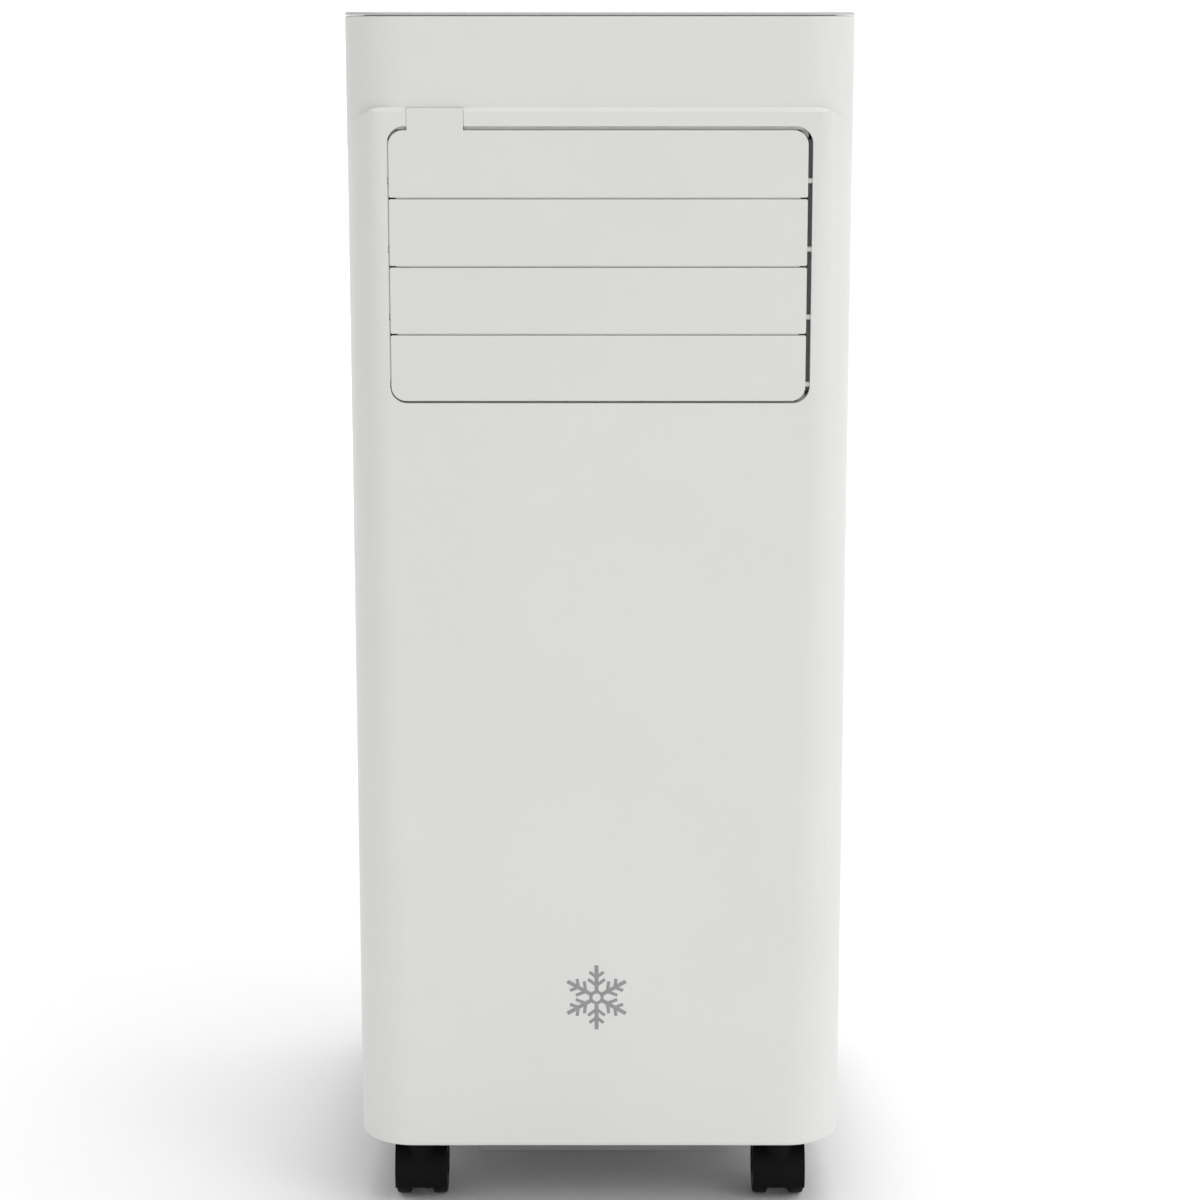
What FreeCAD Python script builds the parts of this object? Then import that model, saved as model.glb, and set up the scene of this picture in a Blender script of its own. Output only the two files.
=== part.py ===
"""Portable air conditioner: a white tower on four twin-wheel castors.

Frame: origin on the floor under the middle of the tower, X to the right seen from the front,
Y to the back (the louvre faces -Y), Z up. All sizes are in millimetres.
"""
import FreeCAD, Part
import math
import os
import re

import Sketcher
from FreeCAD import Placement, Rotation, Vector

DIMENSIONS = {
    # Casing
    "half_width": 141, "front": 163, "rear": 155, "collar_rear": 163, "height": 700,
    "body_low": 48.2, "shell_top": 697.9, "cover_low": 698.2, "corner": 32, "rear_corner": 24,
    "wall": 2.5, "split": 25, "split_gap": 0.5, "foot_round": 2.5, "rim_round": 1.2, "edge_round": 0.5,
    # Raised front panel and the set-back band above it
    "panel_top": 649, "panel_proud": 2, "panel_flat": 120, "panel_edge": 9.5,
    "panel_half": 138, "panel_corner": 20, "panel_slope": 2.5, "panel_deep": 30,
    # Louvre opening
    "louvre_half": 116.5, "louvre_low": 486.7, "louvre_high": 638.7, "louvre_corner": 9.5,
    "flange_wall": 2, "flange_back": 145,
    # Slats, counted from the top
    "slat_left": 115.9, "slat_right": 114, "slat_height": 36.5, "slat_pitch": 37.4,
    "slat_nick": 1,
    "slat_low": 487.9, "slat_thick": 3, "slat_corner": 8, "pivot_up": 9.1, "pivot_radius": 1.5,
    "running_gap": 0.05, "crank_back": 9.8, "crank_drop": 6.9, "crank_radius": 1.2,
    "arm_right": 107, "arm_thick": 2.5, "link_left": 114.4, "link_thick": 1.6,
    "tab_left": 105.7, "tab_right": 74.7, "tab_top": 648.5, "tab_gap": 0.25,
    # Discharge duct and its upright vanes
    "duct_half": 114, "duct_front": 142, "duct_back": 30, "duct_low": 488.7, "duct_high": 636.7,
    "duct_wall": 2, "vane_pitch": 56, "vane_chord": 40, "vane_thick": 2, "vane_axis": 114,
    "vane_low": 494, "vane_high": 628, "vane_crank": 14,
    # Handles
    "grip_front": 80, "grip_back": 20, "grip_low": 556, "grip_high": 592, "grip_depth": 22,
    "grip_corner": 8, "grip_wall": 2,
    # Upper, hinged intake grille and the filter clipped in it
    "intake_half": 105, "intake_low": 430.5, "intake_high": 650, "intake_gap": 1.2,
    "grille_thick": 4, "hinge_up": 4, "filter_half": 98, "filter_low": 440, "filter_high": 642,
    # Lower, fixed intake grille
    "vent_half": 104.5, "vent_low": 105, "vent_high": 240, "slot_height": 5, "slot_pitch": 9,
    "vent_corner": 4,
    # Hot-air collar
    "collar_up": 330, "collar_bore": 70, "collar_outer": 73, "collar_rim": 78,
    # Cooling coils, blower housings and fans
    "coil_half": 100, "coil_front": 114, "coil_back": 140, "coil_low": 430, "coil_high": 644,
    "hot_coil_low": 95, "hot_coil_high": 250, "scroll_back": 108, "cold_fan_up": 540,
    "cold_scroll_radius": 92, "cold_fan_radius": 68, "hot_fan_up": 175, "hot_fan_radius": 60,
    "shaft_radius": 4, "hot_scroll_low": 95, "hot_scroll_high": 406, "hot_scroll_front": 45,
    "tray_low": 412, "tray_half": 112,
    # Compressor
    "can_x": 52, "can_y": 84, "can_radius": 52, "can_low": 63, "can_high": 240,
    # Base
    "base_floor": 52, "base_rim": 84, "plinth_half": 70, "plinth_low": 43.5, "boss_low": 46.5, "spout_up": 72,
    "plug_radius": 6.5, "splash_y": 122, "splash_up": 74,
    # Controls
    "fascia_half": 92.5, "fascia_front": 127.5, "fascia_back": 62.5, "fascia_top": 698.6,
    "fascia_low": 694, "button_radius": 6.5, "button_top": 699.8, "button_gap": 0.3,
    "button_y": 95, "stem_radius": 2.5, "stem_low": 686, "travel_room": 1,
    # Castors
    "wheel_radius": 19, "wheel_width": 8.6, "wheel_inner": 6.55, "hood_radius": 22.5,
    "hood_inner": 19.9, "hood_half": 15.4, "hood_low": 10, "web_half": 6.2, "axle_radius": 2.5,
    "castor_x": 107, "castor_front": 125, "castor_back": 100, "trail": 12, "neck_radius": 9,
    "neck_top": 46, "stem_top": 72, "castor_stem": 4, "boss_radius": 11, "boss_top": 76,
}
WORD = re.compile(r"[a-z][a-z0-9_]*")
PLANES = {"XY": "XY_Plane", "XZ": "XZ_Plane", "YZ": "YZ_Plane"}
TURNS = {"x": Rotation(Vector(0, 1, 0), 90), "y": Rotation(Vector(1, 0, 0), -90), "z": Rotation()}

doc = FreeCAD.newDocument("PortableAirConditioner")
nodes = []


def make_sheet():
    """Write the driving dimensions into the spreadsheet, one aliased cell each."""
    sheet = doc.addObject("Spreadsheet::Sheet", "Dims")
    for row, (alias, value) in enumerate(DIMENSIONS.items(), start=1):
        sheet.set(f"A{row}", alias)
        sheet.set(f"B{row}", str(value))
        sheet.setAlias(f"B{row}", alias)
    doc.recompute()
    return sheet


dims_sheet = make_sheet()


def expr(text):
    """Point each dimension named in text at its cell."""
    return WORD.sub(lambda word: f"Dims.{word[0]}" if word[0] in DIMENSIONS else word[0], str(text))


def dim(name):
    """Read one dimension back from the sheet."""
    return float(dims_sheet.get(name))


def bind(obj, **sizes):
    for prop, text in sizes.items():
        obj.setExpression(prop, expr(text))


def place(obj, at, turn=Rotation()):
    """Turn an object, then bind its position to three expressions."""
    obj.Placement = Placement(Vector(), turn)
    for axis, text in zip("xyz", at):
        obj.setExpression(f".Placement.Base.{axis}", expr(text))


def node(obj, label):
    """Name a finished sub-part and list it for export."""
    obj.Label = label
    nodes.append(obj)
    return obj


# Part primitives and booleans


def block(x, y, z):
    """A box over three (low, high) spans."""
    box = doc.addObject("Part::Box", "Block")
    spans = {"Length": x, "Width": y, "Height": z}
    bind(box, **{prop: f"({high}) - ({low})" for prop, (low, high) in spans.items()})
    place(box, (x[0], y[0], z[0]))
    return box


def rod(along, radius, length, at):
    """A cylinder that starts at a point and runs along +x, +y or +z."""
    cylinder = doc.addObject("Part::Cylinder", "Rod")
    bind(cylinder, Radius=radius, Height=length)
    place(cylinder, at, TURNS[along])
    return cylinder


def round_end(cylinder, radius):
    """Round the far end of a rod, its third edge."""
    rounding = doc.addObject("Part::Fillet", "RoundEnd")
    rounding.Base = cylinder
    rounding.Edges = [(3, radius, radius)]
    return rounding


def fuse(*shapes):
    union = doc.addObject("Part::MultiFuse", "Union")
    union.Shapes = list(shapes)
    return union


def cut(base, *tools):
    difference = doc.addObject("Part::Cut", "Difference")
    difference.Base = base
    difference.Tool = tools[0] if len(tools) == 1 else fuse(*tools)
    return difference


def group(*shapes):
    """Separate solids that share one node."""
    compound = doc.addObject("Part::Compound", "Group")
    compound.Links = list(shapes)
    return compound


def feature(label, shape):
    """A sub-part whose shape is worked out with Part's own functions."""
    obj = doc.addObject("Part::Feature", label)
    obj.Shape = shape
    return node(obj, label)


class Piece:
    """A PartDesign body that grows by sketches, pads and pockets.

    Sketches lie on the body's origin planes, moved to a point given as three expressions. Pads and
    pockets always run towards the positive axis across the sketch.
    """

    def __init__(self, label):
        self.body = node(doc.addObject("PartDesign::Body", "Piece"), label)

    def origin(self, role):
        return next(item for item in self.body.Origin.OriginFeatures if item.Role == role)

    def sketch(self, plane, at):
        sketch = self.body.newObject("Sketcher::SketchObject", "Sketch")
        sketch.AttachmentSupport = (self.origin(PLANES[plane]), "")
        sketch.MapMode = "FlatFace"
        x, y, z = at
        offset = {"XY": (x, y, z), "XZ": (x, z, f"-({y})"), "YZ": (y, z, x)}[plane]
        for axis, text in zip("xyz", offset):
            sketch.setExpression(f".AttachmentOffset.Base.{axis}", expr(text))
        return sketch

    def rectangle(self, plane, centre, width, height):
        """A rectangle centred on a point, width along the plane's first axis."""
        sketch = self.sketch(plane, centre)
        corners = [Vector(-1, -1), Vector(1, -1), Vector(1, 1), Vector(-1, 1)]
        for start, end in zip(corners, corners[1:] + corners[:1]):
            sketch.addGeometry(Part.LineSegment(start, end))
        for line in range(4):
            sketch.addConstraint(Sketcher.Constraint("Coincident", line, 2, (line + 1) % 4, 1))
            level = "Horizontal" if line % 2 == 0 else "Vertical"
            sketch.addConstraint(Sketcher.Constraint(level, line))
        sketch.addConstraint(Sketcher.Constraint("Symmetric", 0, 1, 1, 2, -1, 1))
        for line, distance, text in ((0, "DistanceX", width), (1, "DistanceY", height)):
            index = sketch.addConstraint(Sketcher.Constraint(distance, line, 1, line, 2, 2.0))
            sketch.setExpression(f"Constraints[{index}]", expr(text))
        return sketch

    def circle(self, plane, centre, radius):
        sketch = self.sketch(plane, centre)
        sketch.addGeometry(Part.Circle(Vector(), Vector(0, 0, 1), 1.0))
        sketch.addConstraint(Sketcher.Constraint("Coincident", 0, 3, -1, 1))
        index = sketch.addConstraint(Sketcher.Constraint("Radius", 0, 1.0))
        sketch.setExpression(f"Constraints[{index}]", expr(radius))
        return sketch

    def extrude(self, kind, sketch, length):
        extrusion = self.body.newObject(kind, kind.split("::")[1])
        extrusion.Profile = sketch
        bind(extrusion, Length=length)
        towards_minus = sketch.AttachmentSupport[0][0].Role == "XZ_Plane"
        extrusion.Reversed = towards_minus == (kind == "PartDesign::Pad")
        return extrusion

    def pad(self, sketch, length):
        return self.extrude("PartDesign::Pad", sketch, length)

    def pocket(self, sketch, length):
        return self.extrude("PartDesign::Pocket", sketch, length)

    def fillet(self, test, radius):
        """Round the edges of the solid so far that pass a test on their two end points."""
        doc.recompute()
        base = self.body.Tip
        names = [
            f"Edge{index}"
            for index, edge in enumerate(base.Shape.Edges, start=1)
            if test(edge.BoundBox)
        ]
        rounding = self.body.newObject("PartDesign::Fillet", "Fillet")
        rounding.Base = (base, names)
        bind(rounding, Radius=radius)

    def repeat(self, original, kind, **settings):
        """Repeat a feature with a linear or polar pattern."""
        pattern = self.body.newObject(f"PartDesign::{kind}", kind)
        pattern.Originals = [original]
        for name, value in settings.items():
            if name in ("Length", "Angle"):
                bind(pattern, **{name: value})
            else:
                setattr(pattern, name, value)
        self.body.Tip = pattern


# Casing


def plan(half, front, rear, front_corner, rear_corner, level):
    """A closed outline with rounded corners, drawn at one level."""
    lean = 1 - math.sqrt(0.5)
    left, right = -half, half
    arcs = [
        ((left, front), (1, 1), front_corner),
        ((right, front), (-1, 1), front_corner),
        ((right, rear), (-1, -1), rear_corner),
        ((left, rear), (1, -1), rear_corner),
    ]
    rounds = []
    for index, ((x, y), (sx, sy), radius) in enumerate(arcs):
        along_x = Vector(x + sx * radius, y, level)
        along_y = Vector(x, y + sy * radius, level)
        middle = Vector(x + sx * radius * lean, y + sy * radius * lean, level)
        ends = (along_y, along_x) if index % 2 == 0 else (along_x, along_y)
        rounds.append((ends[0], middle, ends[1]))
    return closed_outline(rounds)


def closed_outline(rounds):
    """Join arcs, each given as start, middle and end, with straight lines into one wire."""
    edges = []
    for (start, middle, end), following in zip(rounds, rounds[1:] + rounds[:1]):
        edges.append(Part.Arc(start, middle, end).toShape())
        if end.distanceToPoint(following[0]) > 1e-6:
            edges.append(Part.LineSegment(end, following[0]).toShape())
    return Part.Wire(edges)


def prism(half, front, rear, front_corner, rear_corner, low, high):
    outline = plan(half, front, rear, front_corner, rear_corner, low)
    return Part.Face(outline).extrude(Vector(0, 0, high - low))


def solid_box(x, y, z):
    """A box over three (low, high) spans, as a bare shape."""
    corner = Vector(x[0], y[0], z[0])
    return Part.makeBox(x[1] - x[0], y[1] - y[0], z[1] - z[0], corner)


def solid_rod(start, along, radius):
    return Part.makeCylinder(radius, along.Length, start, along)


def rounded(shape, radius, test):
    """Round the edges whose bounding box passes a test."""
    return shape.makeFillet(radius, [edge for edge in shape.Edges if test(edge.BoundBox)])


def window(x, y, z, along, radius):
    """A box with the four edges along one axis rounded, to cut a rounded window."""
    length = {"x": x, "y": y, "z": z}[along]
    full = 0.99 * (length[1] - length[0])
    prop = f"{along.upper()}Length"
    return rounded(solid_box(x, y, z), radius, lambda box: getattr(box, prop) > full)


def panel_section(edge_radius, flat, level):
    """Outline of the front part: each corner turns 45 degrees tightly, then 45 more to the side."""
    half, front, deep = dim("half_width"), -dim("front"), -dim("panel_deep")
    turn = math.sqrt(0.5)
    joint = Vector(flat + edge_radius * turn, front + edge_radius * (1 - turn), level)
    side_radius = (half - joint.x) / (1 - turn)
    side_end = Vector(half, joint.y + side_radius * turn, level)
    eighth = math.radians(22.5)
    tight = Vector(
        flat + edge_radius * math.sin(eighth),
        front + edge_radius * (1 - math.cos(eighth)),
        level,
    )
    wide_centre = Vector(half - side_radius, side_end.y, level)
    wide = wide_centre + Vector(math.cos(eighth), -math.sin(eighth), 0) * side_radius
    right = [(Vector(flat, front, level), tight, joint), (joint, wide, side_end)]
    mirror = [tuple(Vector(-p.x, p.y, p.z) for p in reversed(arc)) for arc in reversed(right)]
    rounds = right + mirror
    back = [Vector(half, deep, level), Vector(-half, deep, level)]
    edges = [Part.Arc(*arc).toShape() for arc in rounds[:2]]
    path = [side_end, back[0], back[1], mirror[0][0]]
    edges += [Part.LineSegment(a, b).toShape() for a, b in zip(path, path[1:])]
    edges += [Part.Arc(*arc).toShape() for arc in mirror]
    edges.append(Part.LineSegment(mirror[1][2], right[0][0]).toShape())
    return Part.Wire(edges)


def upright_outline(half, low, high, low_corner, high_corner, at_y):
    """A rounded outline in the XZ plane at one depth."""
    flat = plan(half, low, high, low_corner, high_corner, 0)
    flat.rotate(Vector(), Vector(1, 0, 0), 90)
    flat.translate(Vector(0, at_y, 0))
    return flat


def band_low():
    """Level below which the raised panel runs to the full width of the tower."""
    return dim("panel_top") - dim("panel_corner") - dim("panel_slope")


def panel_limits():
    """What the raised panel may fill: a sloped edge along its top and round its top corners."""
    half, top, corner = dim("panel_half"), dim("panel_top"), dim("panel_corner")
    slope, low, small = dim("panel_slope"), dim("body_low") - 1, 0.5
    front, foot = -dim("front"), -dim("front") + dim("panel_proud")
    outer = upright_outline(half, low, top - slope, small, corner, front)
    inner = upright_outline(half + slope, low, top, small, corner + slope, foot)
    edge = Part.makeLoft([outer, inner], True, True)
    behind = Part.Face(inner).extrude(Vector(0, -foot, 0))
    side = dim("half_width")
    below = solid_box((-side, side), (front, 0), (low, band_low()))
    return edge.fuse([behind, below])


def casing_solid():
    """The outer form of the tower, filled."""
    low, top = dim("body_low"), dim("panel_top")
    corner, half = dim("corner"), dim("half_width")
    band_front = -dim("front") + dim("panel_proud")
    sections = [
        panel_section(corner, half - corner, low),
        panel_section(dim("panel_edge"), dim("panel_flat"), top),
    ]
    panel = Part.makeLoft(sections, True, True).common(panel_limits())
    rear, rear_corner, high = dim("rear"), dim("rear_corner"), dim("shell_top")
    band = prism(half, band_front, rear, corner, rear_corner, band_low(), high)
    body = prism(half, band_front, rear, corner, rear_corner, low, high)
    behind = solid_box((-half, half), (-dim("panel_deep"), rear), (low, high))
    casing = panel.fuse([band, body.common(behind)]).removeSplitter()
    casing = rounded(casing, dim("foot_round"), lambda box: box.ZMax < low + 0.01)
    return rounded(casing, dim("rim_round"), lambda box: box.ZMin > high - 0.01)


def casing_room():
    """The room inside the casing walls, open at the top and bottom."""
    wall, corner = dim("wall"), dim("corner")
    front = -dim("front") + dim("panel_proud") + wall
    return prism(dim("half_width") - wall, front, dim("rear") - wall, corner - wall,
                 dim("rear_corner") - wall, dim("body_low") - 1, dim("shell_top") + 1)


def pivot_levels():
    """Height of each slat's pivot, from the top slat down."""
    first = dim("slat_low") + dim("pivot_up")
    return [first + dim("slat_pitch") * step for step in (3, 2, 1, 0)]


def louvre_hole(extra, depth):
    """The louvre opening with the notch for the finger tab, grown by extra all round."""
    front = -dim("front") - 1
    outline = upright_outline(dim("louvre_half") + extra, dim("louvre_low") - extra,
                              dim("louvre_high") + extra, dim("louvre_corner") + extra,
                              dim("louvre_corner") + extra, front)
    opening = Part.Face(outline).extrude(Vector(0, depth, 0))
    gap = dim("tab_gap") + extra
    notch = solid_box((-dim("tab_left") - gap, -dim("tab_right") + gap), (front, front + depth),
                      (dim("louvre_high") - dim("louvre_corner"), dim("tab_top") + gap))
    return opening.fuse(notch)


def louvre_flange():
    """Square-cornered collar behind the louvre opening, bored for the slat pivots."""
    half, low, high = dim("louvre_half"), dim("louvre_low"), dim("louvre_high")
    thick = dim("flange_wall")
    start = -dim("front") + dim("panel_proud") + dim("wall")
    span = (start, -dim("flange_back"))
    outer = solid_box((-half - thick, half + thick), span, (low - thick, high + thick))
    inner = solid_box((-half, half), span, (low, high))
    return outer.cut(inner)


def front_shell():
    half = dim("half_width") + 1
    ahead = solid_box((-half, half), (-dim("front") - 1, dim("split")), (0, dim("height")))
    shell = casing_solid().common(ahead).cut(casing_room())
    shell = shell.fuse(louvre_flange())
    shell = shell.cut(louvre_hole(0, dim("front") - dim("flange_back") + 5))
    radius = dim("pivot_radius") + dim("running_gap")
    axis_y = -dim("front") + dim("slat_thick")
    reach = dim("louvre_half") + dim("flange_wall")
    for level in pivot_levels():
        start = Vector(-reach, axis_y, level)
        shell = shell.cut(solid_rod(start, Vector(2 * reach, 0, 0), radius))
    grip = window((-half, half), (-dim("grip_front"), dim("grip_back")),
                  (dim("grip_low"), dim("grip_high")), "x", dim("grip_corner"))
    feature("front_shell", shell.cut(grip).removeSplitter())


def rear_shell():
    half, rear = dim("half_width") + 1, dim("rear")
    behind = solid_box((-half, half), (dim("split") + dim("split_gap"), rear + 1),
                       (0, dim("height")))
    shell = casing_solid().common(behind).cut(casing_room())
    through = (rear - dim("grille_thick") - 1, rear + 1)
    gap = dim("intake_gap")
    ears = [
        solid_box((side * dim("intake_half") + gap * side - (side < 0) * 4,
                   side * dim("intake_half") + gap * side + (side > 0) * 4),
                  (rear - 9, rear - dim("wall")), (dim("intake_low") - 2, dim("intake_low") + 14))
        for side in (-1, 1)
    ]
    shell = shell.fuse(ears)
    intake = window((-dim("intake_half") - gap, dim("intake_half") + gap), through,
                    (dim("intake_low") - gap, dim("intake_high") + gap), "y",
                    dim("vent_corner") + gap)
    vent = window((-dim("vent_half"), dim("vent_half")), through,
                  (dim("vent_low"), dim("vent_high")), "y", dim("vent_corner"))
    start = rear - 20
    holes = [
        solid_rod(Vector(0, start, dim("collar_up")), Vector(0, 40, 0), dim("collar_outer")),
        solid_rod(Vector(0, start, dim("spout_up")), Vector(0, 40, 0), 8),
        solid_rod(Vector(*cord_exit()), Vector(0, 40, 0), 8),
        solid_rod(Vector(-dim("intake_half") - 4, *intake_axis()),
                  Vector(2 * dim("intake_half") + 8, 0, 0),
                  dim("pivot_radius") + dim("running_gap")),
    ]
    holes += [solid_rod(Vector(x, rear - 10, z), Vector(0, 20, 0), 1.5) for x, z in screw_places()]
    feature("rear_shell", shell.cut([intake, vent] + holes).removeSplitter())


def cord_exit():
    """Inner end of the power cord's gland, low on the back."""
    return 95, dim("rear") - 20, 262


def intake_axis():
    """Depth and height of the upper grille's hinge line."""
    return dim("rear") - dim("grille_thick") / 2, dim("intake_low") + dim("hinge_up")


def screw_places():
    """Case screws, in two columns beside the grilles."""
    return [(side * 112, level) for side in (-1, 1) for level in (90, 265, 395, 672)]


def case_screws():
    screws = []
    for x, z in screw_places():
        head = rod("y", 3.5, 1.6, (x, "rear", z))
        shank = rod("y", 1.5, 12, (x, "rear - 12", z))
        screws.append(fuse(head, shank))
    node(group(*screws), "case_screws")


def top_cover():
    """Lid with a rounded rim, a skirt inside the casing and a sunken tray for the controls."""
    cover = Piece("top_cover")
    depth = "front - panel_proud + rear"
    middle = "(rear - front + panel_proud) / 2"
    plate = cover.rectangle("XY", (0, middle, "cover_low"), "2 * half_width", depth)
    cover.pad(plate, "height - cover_low")
    upright = 0.9 * (dim("height") - dim("cover_low"))
    cover.fillet(lambda box: box.ZLength > upright and box.YMax < 0, "corner")
    cover.fillet(lambda box: box.ZLength > upright and box.YMin > dim("rear") - 1, "rear_corner")
    cover.fillet(lambda box: box.ZMin > dim("height") - 0.01, "(height - cover_low) * 0.7")
    inset = "wall + 0.3"
    skirt = cover.rectangle("XY", (0, middle, "cover_low - 10"), f"2 * (half_width - {inset}) - 20",
                            f"{depth} - 2 * ({inset}) - 20")
    cover.pad(skirt, 10)
    hollow = cover.rectangle("XY", (0, middle, "cover_low - 10"),
                             f"2 * (half_width - {inset}) - 24", f"{depth} - 2 * ({inset}) - 24")
    cover.pocket(hollow, 10)
    panel_y = "-(fascia_front + fascia_back) / 2"
    tray = cover.rectangle("XY", (0, panel_y, "fascia_low - 2"), "2 * fascia_half + 4.6",
                           "fascia_front - fascia_back + 4.6")
    cover.pad(tray, "height - fascia_low + 1")
    sink = cover.rectangle("XY", (0, panel_y, "fascia_low"), "2 * fascia_half + 0.6",
                           "fascia_front - fascia_back + 0.6")
    cover.pocket(sink, 10)
    for x in button_places():
        hole = cover.circle("XY", (x, "-button_y", "fascia_low - 3"), "stem_radius + button_gap")
        cover.pocket(hole, 5)


def side_grip(label, side):
    """Finger recess let into one side wall."""
    wall, deepest = dim("grip_wall"), side * (dim("half_width") - dim("grip_depth"))
    face = side * dim("half_width")
    y, z = (-dim("grip_front"), dim("grip_back")), (dim("grip_low"), dim("grip_high"))
    tray = window(sorted((deepest, face)), y, z, "x", dim("grip_corner"))
    floor = deepest + side * wall
    hollow = window(sorted((floor, face)), (y[0] + wall, y[1] - wall), (z[0] + wall, z[1] - wall),
                    "x", dim("grip_corner") - wall)
    hollow = rounded(hollow, dim("grip_wall"),
                     lambda box: max(abs(box.XMin - floor), abs(box.XMax - floor)) < 0.01)
    feature(label, tray.cut(hollow))


# Front louvre


def slat(number, level):
    """One louvre slat with its two pivot pins and the crank that joins it to the link."""
    piece = Piece(f"slat_{number}")
    low = f"slat_low + {4 - number} * slat_pitch"
    pivot = f"{low} + pivot_up"
    centre_x = "(slat_right - slat_left) / 2"
    blade = piece.rectangle("XZ", (centre_x, "-front", f"{low} + slat_height / 2"),
                            "slat_left + slat_right", "slat_height")
    piece.pad(blade, "slat_thick")
    thick = dim("slat_thick") * 0.9
    top = level - dim("pivot_up") + dim("slat_height") - 0.01
    bottom = level - dim("pivot_up") + 0.01
    piece.fillet(lambda box: box.YLength > thick and box.ZMin > top,
                 "slat_corner" if number == 1 else "slat_nick")
    piece.fillet(lambda box: box.YLength > thick and box.ZMax < bottom,
                 "slat_corner" if number == 4 else "slat_nick")
    if number == 1:
        tab = piece.rectangle("XZ", ("-(tab_left + tab_right) / 2", "-front",
                                     f"({low} + slat_height - 4 + tab_top) / 2"),
                              "tab_left - tab_right", f"tab_top - ({low}) - slat_height + 4")
        piece.pad(tab, "slat_thick")
        piece.fillet(lambda box: box.YLength > thick and box.ZMin > dim("tab_top") - 0.01, 1.5)
    face = -dim("front") + 0.01
    piece.fillet(lambda box: box.YMax < face, "edge_round")
    back = "-front + slat_thick"
    for x in ("-slat_left", "slat_right - arm_thick"):
        piece.pad(piece.rectangle("YZ", (x, f"{back} + 0.5", pivot), 5, 6), "arm_thick")
    arm = piece.rectangle("YZ", ("arm_right - arm_thick", f"{back} + (crank_back + 2.4) / 2 - 0.5",
                                 f"{pivot} - (crank_drop - 0.6) / 2"),
                          "crank_back + 3.4", "crank_drop + 5.4")
    piece.pad(arm, "arm_thick")
    piece.pad(piece.circle("YZ", ("arm_right - 1", f"{back} + crank_back", f"{pivot} - crank_drop"),
                           "crank_radius"), "link_left + link_thick - arm_right + 1.2")
    piece.pad(piece.circle("YZ", ("-louvre_half - 1.9", back, pivot), "pivot_radius"),
              "louvre_half + 1.9 - slat_left + 1")
    piece.pad(piece.circle("YZ", ("slat_right - 1", back, pivot), "pivot_radius"),
              "louvre_half + 1.9 - slat_right + 1")


def slat_link():
    """Bar that joins the four slat cranks, so that the slats turn together."""
    link = Piece("slat_link")
    lowest = "slat_low + pivot_up - crank_drop"
    y = "-front + slat_thick + crank_back"
    bar = link.rectangle("YZ", ("link_left", y, f"{lowest} + 1.5 * slat_pitch"), 4.4,
                         "3 * slat_pitch + 5")
    link.pad(bar, "link_thick")
    for step in range(4):
        hole = link.circle("YZ", ("link_left - 1", y, f"{lowest} + {step} * slat_pitch"),
                           "crank_radius + running_gap")
        link.pocket(hole, "link_thick + 2")


# Discharge duct and vanes


def vane_places():
    return [f"{step} * vane_pitch" for step in (-1.5, -0.5, 0.5, 1.5)]


def discharge_duct():
    outer = block(("-duct_half", "duct_half"), ("-duct_front", "duct_back"),
                  ("duct_low", "duct_high"))
    inner = block(("-duct_half + duct_wall", "duct_half - duct_wall"),
                  ("-duct_front - 1", "duct_back + 1"),
                  ("duct_low + duct_wall", "duct_high - duct_wall"))
    bores = [rod("z", "pivot_radius + running_gap", "duct_high - duct_low + 2",
                 (x, "-vane_axis", "duct_low - 1")) for x in vane_places()]
    node(cut(outer, inner, *bores), "discharge_duct")


def vane(number, x):
    """One upright vane that turns on pins in the duct's floor and roof."""
    blade = block((f"{x} - vane_thick / 2", f"{x} + vane_thick / 2"),
                  ("-vane_axis - vane_chord / 2", "-vane_axis + vane_chord / 2"),
                  ("vane_low", "vane_high"))
    spine = rod("z", "pivot_radius", "duct_high - duct_low - 1", (x, "-vane_axis", "duct_low + 0.5"))
    crank = rod("z", "crank_radius", 5, (x, "-vane_axis + vane_crank", "vane_high - 1"))
    node(fuse(blade, spine, crank), f"vane_{number}")


def vane_link():
    low = "vane_high + 0.6"
    bar = block(("-1.5 * vane_pitch - 3", "1.5 * vane_pitch + 3"),
                ("-vane_axis + vane_crank - 2.2", "-vane_axis + vane_crank + 2.2"),
                (low, f"{low} + 2"))
    holes = [rod("z", "crank_radius + running_gap", 6,
                 (x, "-vane_axis + vane_crank", "vane_high - 1")) for x in vane_places()]
    node(cut(bar, *holes), "vane_link")


# Cooling side


def evaporator_coil():
    core = block(("-coil_half", "coil_half"), ("coil_front", "coil_back"), ("coil_low", "coil_high"))
    bends = return_bends("coil_low", "coil_high", 10)
    node(fuse(core, *bends), "evaporator_coil")


def return_bends(low, high, count):
    """Ends of the copper tubes that stand out of both sides of a coil."""
    return [
        rod("x", 4, "2 * coil_half + 14",
            ("-coil_half - 7", "(coil_front + coil_back) / 2",
             f"{low} + ({high} - {low}) * {2 * step + 1} / {2 * count}"))
        for step in range(count)
    ]


def evaporator_scroll():
    """Drum round the room-air fan, open to the duct in front, with an inlet ring behind."""
    centre = (0, "duct_back", "cold_fan_up")
    depth = "scroll_back - duct_back"
    drum = rod("y", "cold_scroll_radius", depth, centre)
    plate = block(("-duct_half", "duct_half"), ("duct_back", "duct_back + 3"),
                  ("duct_low - 30", "duct_high + 8"))
    room = rod("y", "cold_scroll_radius - 2.5", f"{depth} - 2.5", (0, "duct_back", "cold_fan_up"))
    inlet = rod("y", "cold_fan_radius - 6", f"{depth} + 2", (0, "duct_back + 1", "cold_fan_up"))
    node(cut(fuse(drum, plate), room, inlet), "evaporator_scroll")


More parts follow.
